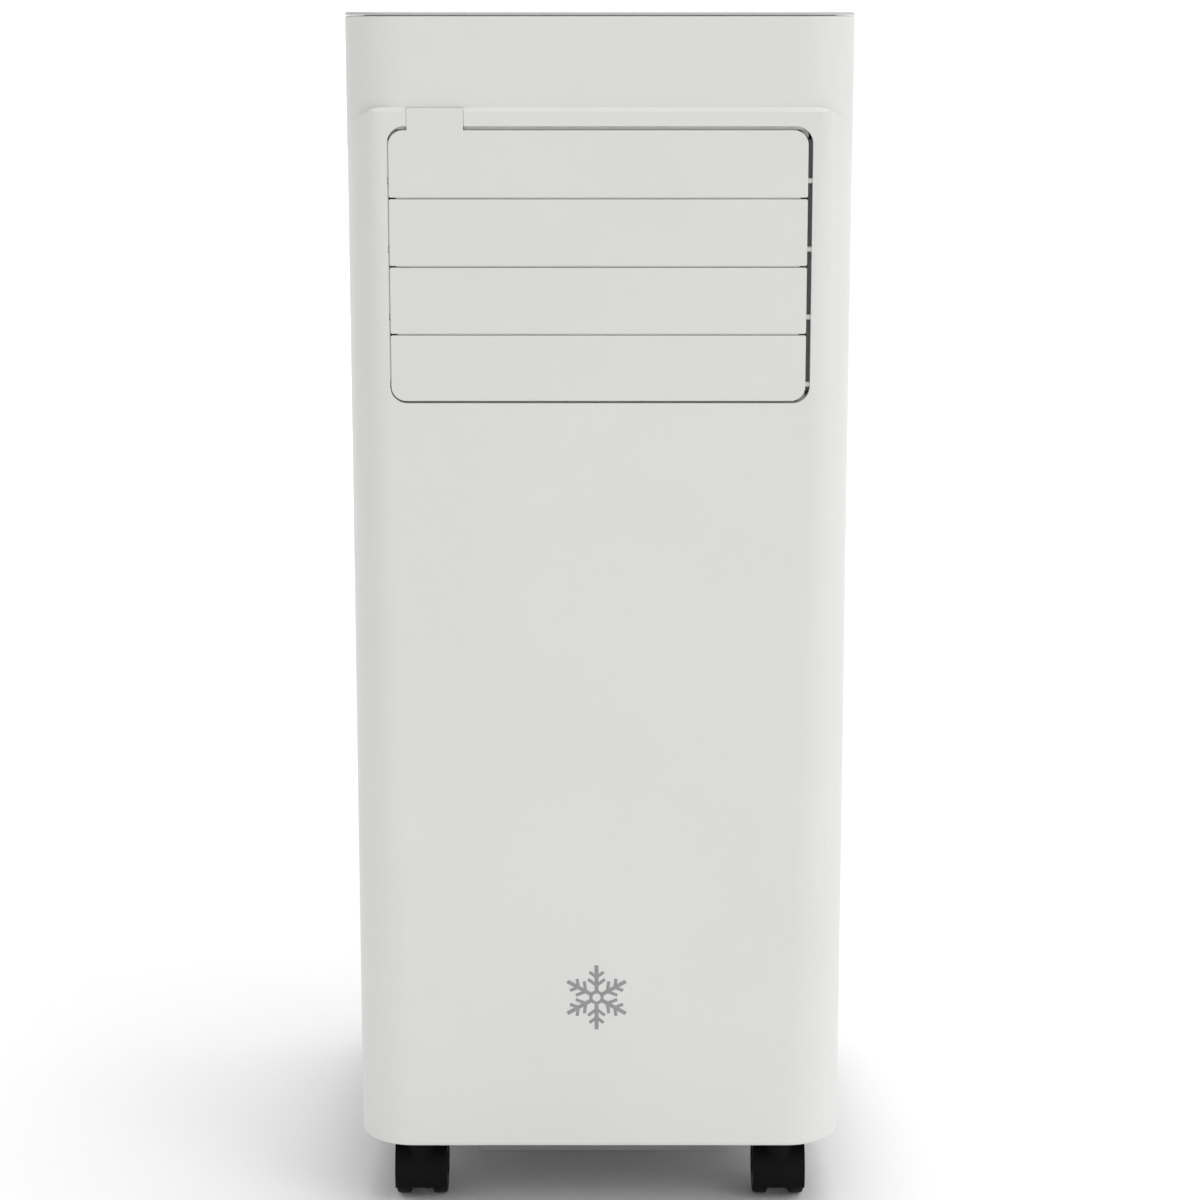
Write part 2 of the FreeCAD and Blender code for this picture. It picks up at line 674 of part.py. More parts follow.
def evaporator_motor():
    """Motor on a cross bar in the duct; its shaft reaches back into the fan."""
    can = rod("y", 36, 44, (0, "duct_back - 46", "cold_fan_up"))
    bar = block(("-duct_half + duct_wall", "duct_half - duct_wall"),
                ("duct_back - 16", "duct_back - 10"), ("cold_fan_up - 7", "cold_fan_up + 7"))
    shaft = rod("y", "shaft_radius", 26, (0, "duct_back - 3", "cold_fan_up"))
    node(fuse(can, bar, shaft), "evaporator_motor")


def squirrel_cage(label, radius, length, count, at):
    """Centrifugal fan: hub disc in front, a ring of blades and a rim at the back."""
    fan = Piece(label)
    fan.pad(fan.circle("XY", (0, 0, 0), radius), 2)
    fan.pad(fan.circle("XY", (0, 0, 0), "shaft_radius + 6"), 18)
    fan.pocket(fan.circle("XY", (0, 0, -1), "shaft_radius + running_gap"), 20)
    blade = fan.rectangle("XY", (f"{radius} - 6.5", 0, 1), 11, 1.4)
    first = fan.pad(blade, f"{length} - 1")
    axis = (fan.origin("Z_Axis"), [""])
    fan.repeat(first, "PolarPattern", Axis=axis, Angle="360", Occurrences=count)
    fan.pad(fan.circle("XY", (0, 0, f"{length} - 3"), radius), 3)
    fan.pocket(fan.circle("XY", (0, 0, f"{length} - 4"), f"{radius} - 9"), 6)
    place(fan.body, at, TURNS["y"])


def drip_tray():
    """Tray between the cold and hot halves; the cold coil stands on its two rails."""
    tray = block(("-tray_half", "tray_half"), (-100, 148), ("tray_low", "tray_low + 14"))
    hollow = block(("-tray_half + 2.5", "tray_half - 2.5"), (-97.5, 145.5),
                   ("tray_low + 2.5", "tray_low + 15"))
    drain = rod("z", 5, 20, (-60, 60, "tray_low - 5"))
    rails = [block((x - 4, x + 4), ("coil_front", "coil_back"), ("tray_low + 1", "coil_low"))
             for x in (-80, 80)]
    node(fuse(cut(tray, hollow, drain), *rails), "drip_tray")


# Hot side


def condenser_coil():
    core = block(("-coil_half", "coil_half"), ("coil_front", "coil_back"),
                 ("hot_coil_low", "hot_coil_high"))
    node(fuse(core, *return_bends("hot_coil_low", "hot_coil_high", 7)), "condenser_coil")


def condenser_scroll():
    """Box that draws air through the hot coil and pushes it up to the collar."""
    span_z = ("hot_scroll_low", "hot_scroll_high")
    outer = block(("-coil_half", "coil_half"), ("hot_scroll_front", "scroll_back"), span_z)
    inner = block(("-coil_half + 2.5", "coil_half - 2.5"),
                  ("hot_scroll_front + 2.5", "scroll_back - 2.5"),
                  ("hot_scroll_low + 2.5", "hot_scroll_high - 2.5"))
    inlet = rod("y", "hot_fan_radius - 6", 20, (0, "scroll_back - 10", "hot_fan_up"))
    outlet = rod("y", "collar_bore", 20, (0, "scroll_back - 10", "collar_up"))
    shaft = rod("y", "shaft_radius + 2", 20, (0, "hot_scroll_front - 5", "hot_fan_up"))
    node(cut(outer, inner, inlet, outlet, shaft), "condenser_scroll")


def condenser_motor():
    can = rod("y", 38, 44, (0, "hot_scroll_front - 44", "hot_fan_up"))
    shaft = rod("y", "shaft_radius", 30, (0, "hot_scroll_front - 3", "hot_fan_up"))
    node(fuse(can, shaft), "condenser_motor")


def exhaust_collar():
    """Round hot-air outlet; the hose's adaptor plugs into its bore."""
    sleeve = rod("y", "collar_outer", "collar_rear - scroll_back", (0, "scroll_back", "collar_up"))
    rim = rod("y", "collar_rim", 3, (0, "rear", "collar_up"))
    bore = rod("y", "collar_bore", 80, (0, "scroll_back - 5", "collar_up"))
    node(cut(fuse(round_end(sleeve, 1), round_end(rim, 1.5)), bore), "exhaust_collar")


def compressor():
    """Rotary compressor with its feet plate and the accumulator strapped beside it."""
    x, y = "-can_x", "-can_y"
    can = rod("z", "can_radius", "can_high - can_low - 12", (x, y, "can_low"))
    dome = doc.addObject("Part::Cone", "Dome")
    bind(dome, Radius1="can_radius", Radius2="can_radius - 16", Height=12)
    place(dome, (x, y, "can_high - 12"))
    feet = rod("z", "can_radius + 4", 3, (x, y, "can_low - 3"))
    accumulator = rod("z", 20, 110, ("22", "-100", 90))
    strap = block(("-can_x + 20", 22), (-104, -96), (140, 152))
    terminal = rod("z", 14, 10, (x, y, "can_high - 2"))
    node(fuse(can, dome, feet, accumulator, strap, terminal), "compressor")


def compressor_grommets():
    places = [(dim("can_radius") - 8) * Vector(math.cos(a), math.sin(a)) for a in
              (math.radians(turn) for turn in (90, 210, 330))]
    feet = [rod("z", 8, "can_low - 3 - base_floor",
                (f"{p.x} - can_x", f"{p.y} - can_y", "base_floor")) for p in places]
    node(group(*feet), "compressor_grommets")


def pipe(points, radius):
    """A tube through points, rounded at each turn."""
    runs = [solid_rod(a, b - a, radius) for a, b in zip(points, points[1:])]
    elbows = [Part.makeSphere(radius, point) for point in points[1:-1]]
    return runs[0].fuse(runs[1:] + elbows).removeSplitter()


def refrigerant_pipes():
    """Discharge pipe to the hot coil, suction pipe to the accumulator, and the capillary."""
    coil_y = (dim("coil_front") + dim("coil_back")) / 2
    end = dim("coil_half") + 7
    top = dim("can_high") + 8
    discharge = [Vector(-52, -84, top), Vector(-52, -84, 272), Vector(118, -84, 272),
                 Vector(118, coil_y, 272), Vector(118, coil_y, 239), Vector(end, coil_y, 239)]
    suction = [Vector(-end, coil_y, 451), Vector(-120, coil_y, 451), Vector(-120, coil_y, 300),
               Vector(-120, -100, 300), Vector(22, -100, 300), Vector(22, -100, 200)]
    capillary = [Vector(-end, coil_y, 106), Vector(-127, coil_y, 106), Vector(-127, coil_y, 490),
                 Vector(-end, coil_y, 490)]
    tubes = [pipe(discharge, 3.2), pipe(suction, 3.2), pipe(capillary, 1.5)]
    feature("refrigerant_pipes", Part.makeCompound(tubes))


def power_box():
    """Electrical box on the inside of the front wall, with its capacitor."""
    wall = "-front + panel_proud + wall"
    box = block((20, 100), (wall, -112), (285, 380))
    capacitor = rod("z", 18, 60, (60, -130, 370))
    node(fuse(box, capacitor), "power_box")


def splash_motor():
    can = rod("x", 13, 26, (9, "splash_y", "splash_up"))
    shaft = rod("x", 2, 12, (-2, "splash_y", "splash_up"))
    bracket = block((12, 32), ("splash_y - 10", "splash_y + 10"), ("base_floor", 70))
    node(fuse(can, shaft, bracket), "splash_motor")


def splash_wheel():
    """Slinger disc that throws condensed water onto the hot coil."""
    wheel = Piece("splash_wheel")
    wheel.pad(wheel.circle("XY", (0, 0, -2), 19), 4)
    wheel.pocket(wheel.circle("XY", (0, 0, -3), "2 + running_gap"), 6)
    notch = wheel.rectangle("XY", (18, 0, -3), 5, 4)
    first = wheel.pocket(notch, 6)
    axis = (wheel.origin("Z_Axis"), [""])
    wheel.repeat(first, "PolarPattern", Axis=axis, Angle="360", Occurrences=10)
    place(wheel.body, (0, "splash_y", "splash_up"), TURNS["x"])


# Rear fittings


def slotted_panel(label, half, low, high, margin):
    """Flat grille with a column of level slots."""
    panel = Piece(label)
    front = "rear - grille_thick"
    plate = panel.rectangle("XZ", (0, front, f"({low} + {high}) / 2"), f"2 * {half}",
                            f"{high} - {low}")
    panel.pad(plate, "grille_thick")
    thick = 0.9 * dim("grille_thick")
    panel.fillet(lambda box: box.YLength > thick, "vent_corner")
    start = f"{low} + {margin}"
    count = int((dim(high) - dim(low) - 2 * margin) / dim("slot_pitch")) + 1
    slot = panel.rectangle("XZ", (0, f"{front} - 1", start), f"2 * {half} - 20", "slot_height")
    first = panel.pocket(slot, "grille_thick + 2")
    direction = (panel.origin("Z_Axis"), [""])
    panel.repeat(first, "LinearPattern", Direction=direction,
                 Length=f"{count - 1} * slot_pitch", Occurrences=count)
    return panel


def upper_grille():
    """Hinged intake grille with a pin at each lower corner and clips for the filter."""
    grille = slotted_panel("upper_grille", "intake_half", "intake_low", "intake_high", 14)
    axis = ("rear - grille_thick / 2", "intake_low + hinge_up")
    for x in ("-intake_half - 3.5", "intake_half - 3.5"):
        grille.pad(grille.circle("YZ", (x, *axis), "pivot_radius"), 7)
    for level in ("filter_low - 2", "filter_high"):
        clip = grille.rectangle("XZ", (0, "rear - grille_thick - 5", f"{level} + 1"), 60, 2)
        grille.pad(clip, 5.5)


def air_filter():
    """Mesh filter: a frame with a thin mesh plate."""
    back = "rear - grille_thick"
    frame = block(("-filter_half", "filter_half"), (f"{back} - 5", f"{back} - 0.5"),
                  ("filter_low", "filter_high"))
    window = block(("-filter_half + 6", "filter_half - 6"), (f"{back} - 6", f"{back} + 1"),
                   ("filter_low + 6", "filter_high - 6"))
    mesh = block(("-filter_half + 5", "filter_half - 5"), (f"{back} - 3.2", f"{back} - 2.2"),
                 ("filter_low + 5", "filter_high - 5"))
    node(fuse(cut(frame, window), mesh), "air_filter")


def cord_gland():
    x, y, z = cord_exit()
    sleeve = rod("y", 8, 22, (x, y, z))
    flange = rod("y", 11, 2, (x, "rear", z))
    node(cut(fuse(sleeve, round_end(flange, 0.8)), rod("y", 4, 40, (x, y - 5, z))), "cord_gland")


def drain_plug():
    """Rubber plug that pulls straight out of the base's spout."""
    shank = rod("y", "plug_radius", 11, (0, "rear - 10.7", "spout_up"))
    cap = rod("y", 10, 3.2, (0, "rear + 0.3", "spout_up"))
    node(fuse(shank, round_end(cap, 1.2)), "drain_plug")


# Base and castors


def castor_places():
    return {
        "front_left": ("-castor_x", "-castor_front"), "front_right": ("castor_x", "-castor_front"),
        "rear_left": ("-castor_x", "castor_back"), "rear_right": ("castor_x", "castor_back"),
    }


def base_pan():
    """Floor of the tower: a water tray with castor sockets, a plinth and a drain spout."""
    inset = "half_width - wall - 0.3"
    front, back = "-front + panel_proud + wall + 0.3", "rear - wall - 0.3"
    pan = Piece("base_pan")
    middle = f"({back} + ({front})) / 2"
    plate = pan.rectangle("XY", (0, middle, "body_low"), f"2 * ({inset})",
                          f"{back} - ({front})")
    pan.pad(plate, "base_rim - body_low")
    upright = 0.9 * (dim("base_rim") - dim("body_low"))
    pan.fillet(lambda box: box.ZLength > upright and box.YMax < 0, "corner - wall")
    pan.fillet(lambda box: box.ZLength > upright and box.YMin > 0, "rear_corner - wall")
    room = pan.rectangle("XY", (0, middle, "base_floor"), f"2 * ({inset} - 6)",
                         f"{back} - ({front}) - 10")
    pan.pocket(room, "base_rim")
    plinth = pan.rectangle("XY", (0, middle, "plinth_low"), "2 * plinth_half",
                           f"{back} - ({front}) - 4")
    pan.pad(plinth, "base_floor - plinth_low - 1")
    for x, y in castor_places().values():
        pan.pad(pan.circle("XY", (x, y, "boss_low"), "boss_radius"), "boss_top - boss_low")
        socket = pan.circle("XY", (x, y, "boss_low - 1"), "castor_stem + running_gap")
        pan.pocket(socket, "stem_top - boss_low + 2")
    spout = pan.circle("XZ", (0, "rear - 30", "spout_up"), "plug_radius + 0.3")
    pan.pocket(spout, 40)


def castor_hood(name, x, y):
    """Swivelling fender and fork of a twin-wheel castor, with its stem."""
    axle_y = f"{y} + trail"
    width = "2 * hood_half"
    drum = rod("x", "hood_radius", width, (f"{x} - hood_half", axle_y, "wheel_radius"))
    neck = rod("z", "neck_radius", "neck_top - wheel_radius", (x, y, "wheel_radius"))
    inner = "(wheel_inner + web_half) / 2"
    wells = [
        rod("x", "hood_inner", "hood_half", (f"{x} + {inner}", axle_y, "wheel_radius")),
        rod("x", "hood_inner", "hood_half", (f"{x} - {inner} - hood_half", axle_y,
                                              "wheel_radius")),
    ]
    side = (f"{x} - 30", f"{x} + 30")
    open_back = block(side, (f"{axle_y} + 8", f"{axle_y} + 40"), (-10, "wheel_radius + 5"))
    under = block(side, (f"{axle_y} - 40", f"{axle_y} + 40"), (-10, "hood_low"))
    bore = rod("x", "axle_radius + running_gap", 60, (f"{x} - 30", axle_y, "wheel_radius"))
    hood = cut(fuse(drum, neck), *wells, open_back, under, bore)
    stem = rod("z", "castor_stem", "stem_top - neck_top + 1", (x, y, "neck_top - 1"))
    node(fuse(hood, stem), f"castor_{name}_hood")


def castor_wheel(x, axle_y):
    """One wheel whose inner face is at x, with rounded rims."""
    disc = rod("x", "wheel_radius", "wheel_width", (x, axle_y, "wheel_radius"))
    tread = doc.addObject("Part::Fillet", "Tread")
    tread.Base = disc
    tread.Edges = [(2, 1.6, 1.6), (3, 1.6, 1.6)]
    bore = rod("x", "axle_radius", "wheel_width + 2", (f"{x} - 1", axle_y, "wheel_radius"))
    return cut(tread, bore)


def castor(name, x, y):
    castor_hood(name, x, y)
    axle_y = f"{y} + trail"
    wheels = group(castor_wheel(f"{x} + wheel_inner", axle_y),
                   castor_wheel(f"{x} - wheel_inner - wheel_width", axle_y))
    node(wheels, f"castor_{name}_wheels")
    reach = "(wheel_inner + wheel_width)"
    axle = rod("x", "axle_radius", f"2 * {reach}", (f"{x} - {reach}", axle_y, "wheel_radius"))
    node(axle, f"castor_{name}_axle")


# Controls


def button_places():
    return (-78, -58, -38, 38, 58, 78)


def control_fascia():
    """Plate that frames the buttons and the display."""
    fascia = Piece("control_fascia")
    middle = "-(fascia_front + fascia_back) / 2"
    plate = fascia.rectangle("XY", (0, middle, "fascia_low"), "2 * fascia_half",
                             "fascia_front - fascia_back")
    fascia.pad(plate, "fascia_top - fascia_low")
    for x in button_places():
        well = fascia.circle("XY", (x, "-button_y", "button_top - 3.6 - travel_room"),
                             "button_radius + button_gap")
        fascia.pocket(well, 10)
        hole = fascia.circle("XY", (x, "-button_y", "fascia_low - 1"), "stem_radius + button_gap")
        fascia.pocket(hole, 10)
    window = fascia.rectangle("XY", (0, "-button_y", "fascia_top - 2"), 44, 24)
    fascia.pocket(window, 4)


def display_lens():
    lens = Piece("display_lens")
    lens.pad(lens.rectangle("XY", (0, "-button_y", "fascia_top - 2"), 44, 24), 2)


def button(name, x):
    """Round push button with the stem that presses its switch."""
    cap = rod("z", "button_radius", 3.6, (x, "-button_y", "button_top - 3.6"))
    stem = rod("z", "stem_radius", "button_top - stem_low - 2", (x, "-button_y", "stem_low"))
    node(fuse(round_end(cap, 0.8), stem), f"button_{name}")


def control_board():
    """Circuit board under the buttons, with one switch for each."""
    board = block((-88, 88), (-122, -68), ("stem_low - 6", "stem_low - 4.4"))
    switches = [block((x - 3, x + 3), ("-button_y - 3", "-button_y + 3"),
                      ("stem_low - 5", "stem_low - 1")) for x in button_places()]
    node(fuse(board, *switches), "control_board")


def build():
    front_shell()
    rear_shell()
    top_cover()
    base_pan()
    side_grip("side_handle_left", -1)
    side_grip("side_handle_right", 1)
    for number, level in enumerate(pivot_levels(), start=1):
        slat(number, level)
    slat_link()
    discharge_duct()
    for number, x in enumerate(vane_places(), start=1):
        vane(number, x)
    vane_link()
    evaporator_coil()
    evaporator_scroll()
    evaporator_motor()
    squirrel_cage("evaporator_fan", "cold_fan_radius", 62, 30, (0, "duct_back + 5", "cold_fan_up"))
    drip_tray()
    condenser_coil()
    condenser_scroll()
    condenser_motor()
    squirrel_cage("condenser_fan", "hot_fan_radius", 48, 28,
                  (0, "hot_scroll_front + 7", "hot_fan_up"))
    exhaust_collar()
    compressor()
    compressor_grommets()
    refrigerant_pipes()
    power_box()
    splash_motor()
    splash_wheel()
    upper_grille()
    air_filter()
    slotted_panel("lower_grille", "vent_half", "vent_low", "vent_high", 12)
    cord_gland()
    drain_plug()
    case_screws()
    for name, (x, y) in castor_places().items():
        castor(name, x, y)
    control_fascia()
    display_lens()
    control_board()
    for name, x in zip(("power", "mode", "fan", "timer", "cooler", "warmer"), button_places()):
        button(name, x)


def check():
    """Stop if any object failed to compute or any sub-part is not a sound solid."""
    doc.recompute()
    faults = [obj.Label for obj in doc.Objects if {"Invalid", "Error"} & set(obj.State)]
    faults += [obj.Label for obj in nodes if obj.Shape.isNull() or not obj.Shape.isValid()]
    faults += [obj.Label for obj in nodes if not obj.Shape.Solids]
    if faults:
        raise RuntimeError(f"objects that failed: {faults}")


def export():
    os.makedirs("parts", exist_ok=True)
    for obj in nodes:
        obj.Shape.exportStep(f"parts/{obj.Label}.step")


build()
check()
export()
print(f"{len(nodes)} sub-parts written")
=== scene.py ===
"""Looks of a portable air conditioner on castors, with its fine parts and a plain studio.

Everything is in metres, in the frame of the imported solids: x to the right, y to the back, z up.
"""

from __future__ import annotations

import logging
import math
from dataclasses import dataclass
from enum import Enum
from typing import Any, Iterable, Sequence

import bmesh
import bpy
from mathutils import Matrix, Vector


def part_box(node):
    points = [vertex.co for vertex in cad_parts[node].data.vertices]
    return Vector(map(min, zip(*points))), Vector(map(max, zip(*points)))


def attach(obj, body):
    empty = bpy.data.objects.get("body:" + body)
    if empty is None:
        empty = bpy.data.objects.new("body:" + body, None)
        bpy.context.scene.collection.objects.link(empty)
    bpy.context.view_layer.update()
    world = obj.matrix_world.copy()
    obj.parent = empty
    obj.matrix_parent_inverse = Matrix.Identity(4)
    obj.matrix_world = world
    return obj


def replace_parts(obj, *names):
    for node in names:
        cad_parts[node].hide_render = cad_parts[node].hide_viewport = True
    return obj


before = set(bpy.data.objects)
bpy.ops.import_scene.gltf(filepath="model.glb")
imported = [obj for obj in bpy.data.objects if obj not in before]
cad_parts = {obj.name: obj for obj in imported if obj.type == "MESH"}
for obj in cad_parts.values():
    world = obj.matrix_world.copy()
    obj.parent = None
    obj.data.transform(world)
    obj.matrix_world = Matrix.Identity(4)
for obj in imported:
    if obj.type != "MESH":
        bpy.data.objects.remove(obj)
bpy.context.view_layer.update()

log = logging.getLogger("tower")
MM = 0.001
FULL_TURN = 2.0 * math.pi
CREASE = math.radians(35)
CORNERS = ("front_left", "front_right", "rear_left", "rear_right")
BUTTONS = ("power", "mode", "fan", "timer", "cooler", "warmer")

Triple = tuple[float, float, float]


# Shader building


class Value:
    """A number that varies over a surface. Its operators add Math nodes."""

    def __init__(self, recipe: Recipe, socket: bpy.types.NodeSocket) -> None:
        """Wrap a socket.

        Args:
            recipe: The recipe whose node tree holds the socket.
            socket: The output that carries the number.
        """
        self.recipe = recipe
        self.socket = socket

    def _math(self, operation: str, *values: Any) -> Value:
        """Add one Math node.

        Args:
            operation: The Math node's operation.
            values: Numbers or Values, in the order of its inputs.

        Returns:
            The node's result.
        """
        node = self.recipe.add("ShaderNodeMath", {"operation": operation}, dict(enumerate(values)))
        return Value(self.recipe, node.outputs[0])

    def __add__(self, other: Any) -> Value:
        """Sum."""
        return self._math("ADD", self, other)

    __radd__ = __add__

    def __sub__(self, other: Any) -> Value:
        """Difference."""
        return self._math("SUBTRACT", self, other)

    def __rsub__(self, other: Any) -> Value:
        """Difference from a number."""
        return self._math("SUBTRACT", other, self)

    def __mul__(self, other: Any) -> Value:
        """Product."""
        return self._math("MULTIPLY", self, other)

    __rmul__ = __mul__

    def __gt__(self, other: Any) -> Value:
        """One where larger, zero elsewhere."""
        return self._math("GREATER_THAN", self, other)

    def __lt__(self, other: Any) -> Value:
        """One where smaller, zero elsewhere."""
        return self._math("LESS_THAN", self, other)

    def __abs__(self) -> Value:
        """Size without its sign."""
        return self._math("ABSOLUTE", self)

    def sine(self) -> Value:
        """Sine of an angle in radians."""
        return self._math("SINE", self)

    def fraction(self) -> Value:
        """Part after the decimal point."""
        return self._math("FRACT", self)

    def lesser(self, other: Any) -> Value:
        """Smaller of two numbers."""
        return self._math("MINIMUM", self, other)

    def ramp(self, low: float, high: float) -> Value:
        """Rise smoothly from zero to one.

        Args:
            low: Where the result leaves zero.
            high: Where it reaches one.

        Returns:
            The eased number.
        """
        node = self.recipe.add(
            "ShaderNodeMapRange",
            {"interpolation_type": "SMOOTHSTEP"},
            {"Value": self, "From Min": low, "From Max": high},
        )
        return Value(self.recipe, node.outputs["Result"])


def tone(colour: Triple, factor: float = 1.0) -> tuple[float, float, float, float]:
    """Scale a colour and give it full alpha.

    Args:
        colour: Linear red, green and blue.
        factor: Brightness to multiply by.

    Returns:
        The four numbers that a colour socket takes.
    """
    return (colour[0] * factor, colour[1] * factor, colour[2] * factor, 1.0)


class Recipe:
    """The node tree of one finish, on object coordinates."""

    def __init__(self, name: str) -> None:
        """Start an empty tree with its mapped coordinates.

        Args:
            name: The material's name.
        """
        self.material = bpy.data.materials.new(name)
        self.material.use_nodes = True
        self.tree = self.material.node_tree
        self.tree.nodes.clear()
        self.point = self.mapped((1.0, 1.0, 1.0))

    def add(
        self,
        kind: str,
        settings: dict[str, Any] | None = None,
        inputs: dict[Any, Any] | None = None,
    ) -> bpy.types.Node:
        """Add any node.

        Args:
            kind: The node's type.
            settings: Properties to set first.
            inputs: Numbers, colours, sockets or Values by socket name or index.

        Returns:
            The node.
        """
        node = self.tree.nodes.new(kind)
        for name, value in (settings or {}).items():
            setattr(node, name, value)
        for key, value in (inputs or {}).items():
            source = value.socket if isinstance(value, Value) else value
            if isinstance(source, bpy.types.NodeSocket):
                self.tree.links.new(source, node.inputs[key])
            else:
                node.inputs[key].default_value = source
        return node

    def mapped(self, scale: Triple) -> bpy.types.NodeSocket:
        """Object coordinates, stretched.

        Args:
            scale: How much faster the pattern runs along each axis.

        Returns:
            The vector socket.
        """
        source = self.add("ShaderNodeTexCoord")
        node = self.add(
            "ShaderNodeMapping",
            {"vector_type": "POINT"},
            {"Vector": source.outputs["Object"], "Scale": scale},
        )
        return node.outputs["Vector"]

    def axis(self, index: int) -> Value:
        """One coordinate in metres: 0 is x, 1 is y and 2 is z."""
        node = self.add("ShaderNodeSeparateXYZ", inputs={"Vector": self.point})
        return Value(self, node.outputs[index])

    def noise(
        self, size: float, detail: float = 2.0, point: bpy.types.NodeSocket | None = None
    ) -> Value:
        """Cloudy noise from zero to one.

        Args:
            size: Distance between its blotches, in metres.
            detail: Octaves of finer noise.
            point: Coordinates to read, or the plain ones.

        Returns:
            The noise.
        """
        node = self.add(
            "ShaderNodeTexNoise",
            inputs={"Vector": point or self.point, "Scale": 1.0 / size, "Detail": detail},
        )
        return Value(self, node.outputs["Fac"])

    def cells(self, size: float) -> Value:
        """Cellular pattern.

        Args:
            size: Distance between cells, in metres.

        Returns:
            The distance from the nearest wall between two cells.
        """
        node = self.add(
            "ShaderNodeTexVoronoi",
            {"feature": "DISTANCE_TO_EDGE"},
            {"Vector": self.point, "Scale": 1.0 / size},
        )
        return Value(self, node.outputs["Distance"])

    def mix(self, mask: Any, low: Any, high: Any) -> bpy.types.NodeSocket:
        """Blend two colours.

        Args:
            mask: Zero for the first colour, one for the second.
            low: First colour or socket.
            high: Second colour or socket.

        Returns:
            The colour socket.
        """
        node = self.add("ShaderNodeMix", {"data_type": "RGBA"}, {0: mask, 6: low, 7: high})
        return node.outputs[2]

    def soft_edge(self, radius: float) -> tuple[bpy.types.NodeSocket, Value]:
        """Round the light over sharp edges, and find them.

        Args:
            radius: Width of the rounding, in metres.

        Returns:
            The rounded normal, and a mask that is one on an edge and zero on a face.
        """
        bevel = self.add("ShaderNodeBevel", {"samples": 3}, {"Radius": radius})
        plain = self.add("ShaderNodeNewGeometry")
        dot = self.add(
            "ShaderNodeVectorMath",
            {"operation": "DOT_PRODUCT"},
            {0: bevel.outputs["Normal"], 1: plain.outputs["Normal"]},
        )
        edge = 1.0 - Value(self, dot.outputs["Value"])
        return bevel.outputs["Normal"], edge.ramp(0.02, 0.25)

    def bump(
        self, height: Value, distance: float, normal: bpy.types.NodeSocket | None = None
    ) -> bpy.types.NodeSocket:
        """Turn a height into a normal.

        Args:
            height: Height from zero to one.
            distance: How tall one is, in metres.
            normal: A normal to add to, if any.

        Returns:
            The normal socket.
        """
        inputs: dict[Any, Any] = {"Height": height, "Distance": distance, "Strength": 1.0}
        if normal is not None:
            inputs["Normal"] = normal
        return self.add("ShaderNodeBump", inputs=inputs).outputs["Normal"]

    def finish(self, **values: Any) -> bpy.types.Material:
        """Close the tree with a principled surface.

        Args:
            values: Socket values or links, with spaces in their names as underscores.

        Returns:
            The finished material.
        """
        inputs = {name.replace("_", " "): value for name, value in values.items()}
        shader = self.add("ShaderNodeBsdfPrincipled", inputs=inputs)
        self.add("ShaderNodeOutputMaterial", inputs={"Surface": shader.outputs["BSDF"]})
        return self.material


# Finishes


@dataclass(frozen=True)
class Moulding:
    """Moulded plastic with fine spark-eroded grain, faint flow marks and handled edges."""

    name: str
    colour: Triple
    roughness: float
    grain: float = 0.45 * MM
    depth: float = 0.012 * MM
    mottle: float = 0.012
    edge: float = 0.35 * MM
    worn: float = 1.02

    def build(self) -> bpy.types.Material:
        """Make the material."""
        recipe = Recipe(self.name)
        cloud = recipe.noise(0.11, 3.0)
        flow = recipe.noise(0.014, 2.0, recipe.mapped((1.0, 1.0, 0.35)))
        grain = recipe.noise(self.grain, 1.0)
        normal, edge = recipe.soft_edge(self.edge)
        base = recipe.mix(
            cloud.ramp(0.3, 0.7), tone(self.colour, 1 - self.mottle), tone(self.colour, 1 + self.mottle)
        )
        base = recipe.mix(grain.ramp(0.25, 0.75) * 0.35, base, tone(self.colour, 0.965))
        base = recipe.mix(edge * 0.5, base, tone(self.colour, self.worn))
        rough = self.roughness + (grain - 0.5) * 0.10 + (flow - 0.5) * 0.09 - edge * 0.08
        return recipe.finish(
            Base_Color=base,
            Roughness=rough,
            Normal=recipe.bump(grain, self.depth, normal),
            IOR=1.5,
        )


@dataclass(frozen=True)
class Scuffed:
    """Dark nylon that rolls on floors: dust in the grain and pale rubbed marks low down."""

    name: str
    colour: Triple
    dust: Triple
    reach: float
    shine: float = 0.09

    def build(self) -> bpy.types.Material:
        """Make the material."""
        recipe = Recipe(self.name)
        speckle = recipe.noise(1.6 * MM, 4.0)
        patch = recipe.noise(0.012, 3.0)
        grain = recipe.noise(0.35 * MM, 1.0)
        normal, edge = recipe.soft_edge(0.4 * MM)
        low = 1.0 - recipe.axis(2).ramp(0.0, self.reach)
        rubbed = speckle.ramp(0.52, 0.78) * patch.ramp(0.35, 0.7) * low
        base = recipe.mix(rubbed * 0.45, tone(self.colour), tone(self.dust))
        base = recipe.mix(edge * 0.35, base, tone(self.colour, 1.9))
        rough = 0.48 + (grain - 0.5) * 0.14 + rubbed * 0.3
        return recipe.finish(
            Base_Color=base,
            Roughness=rough,
            Normal=recipe.bump(grain, 0.01 * MM, normal),
            Specular_IOR_Level=self.shine,
        )


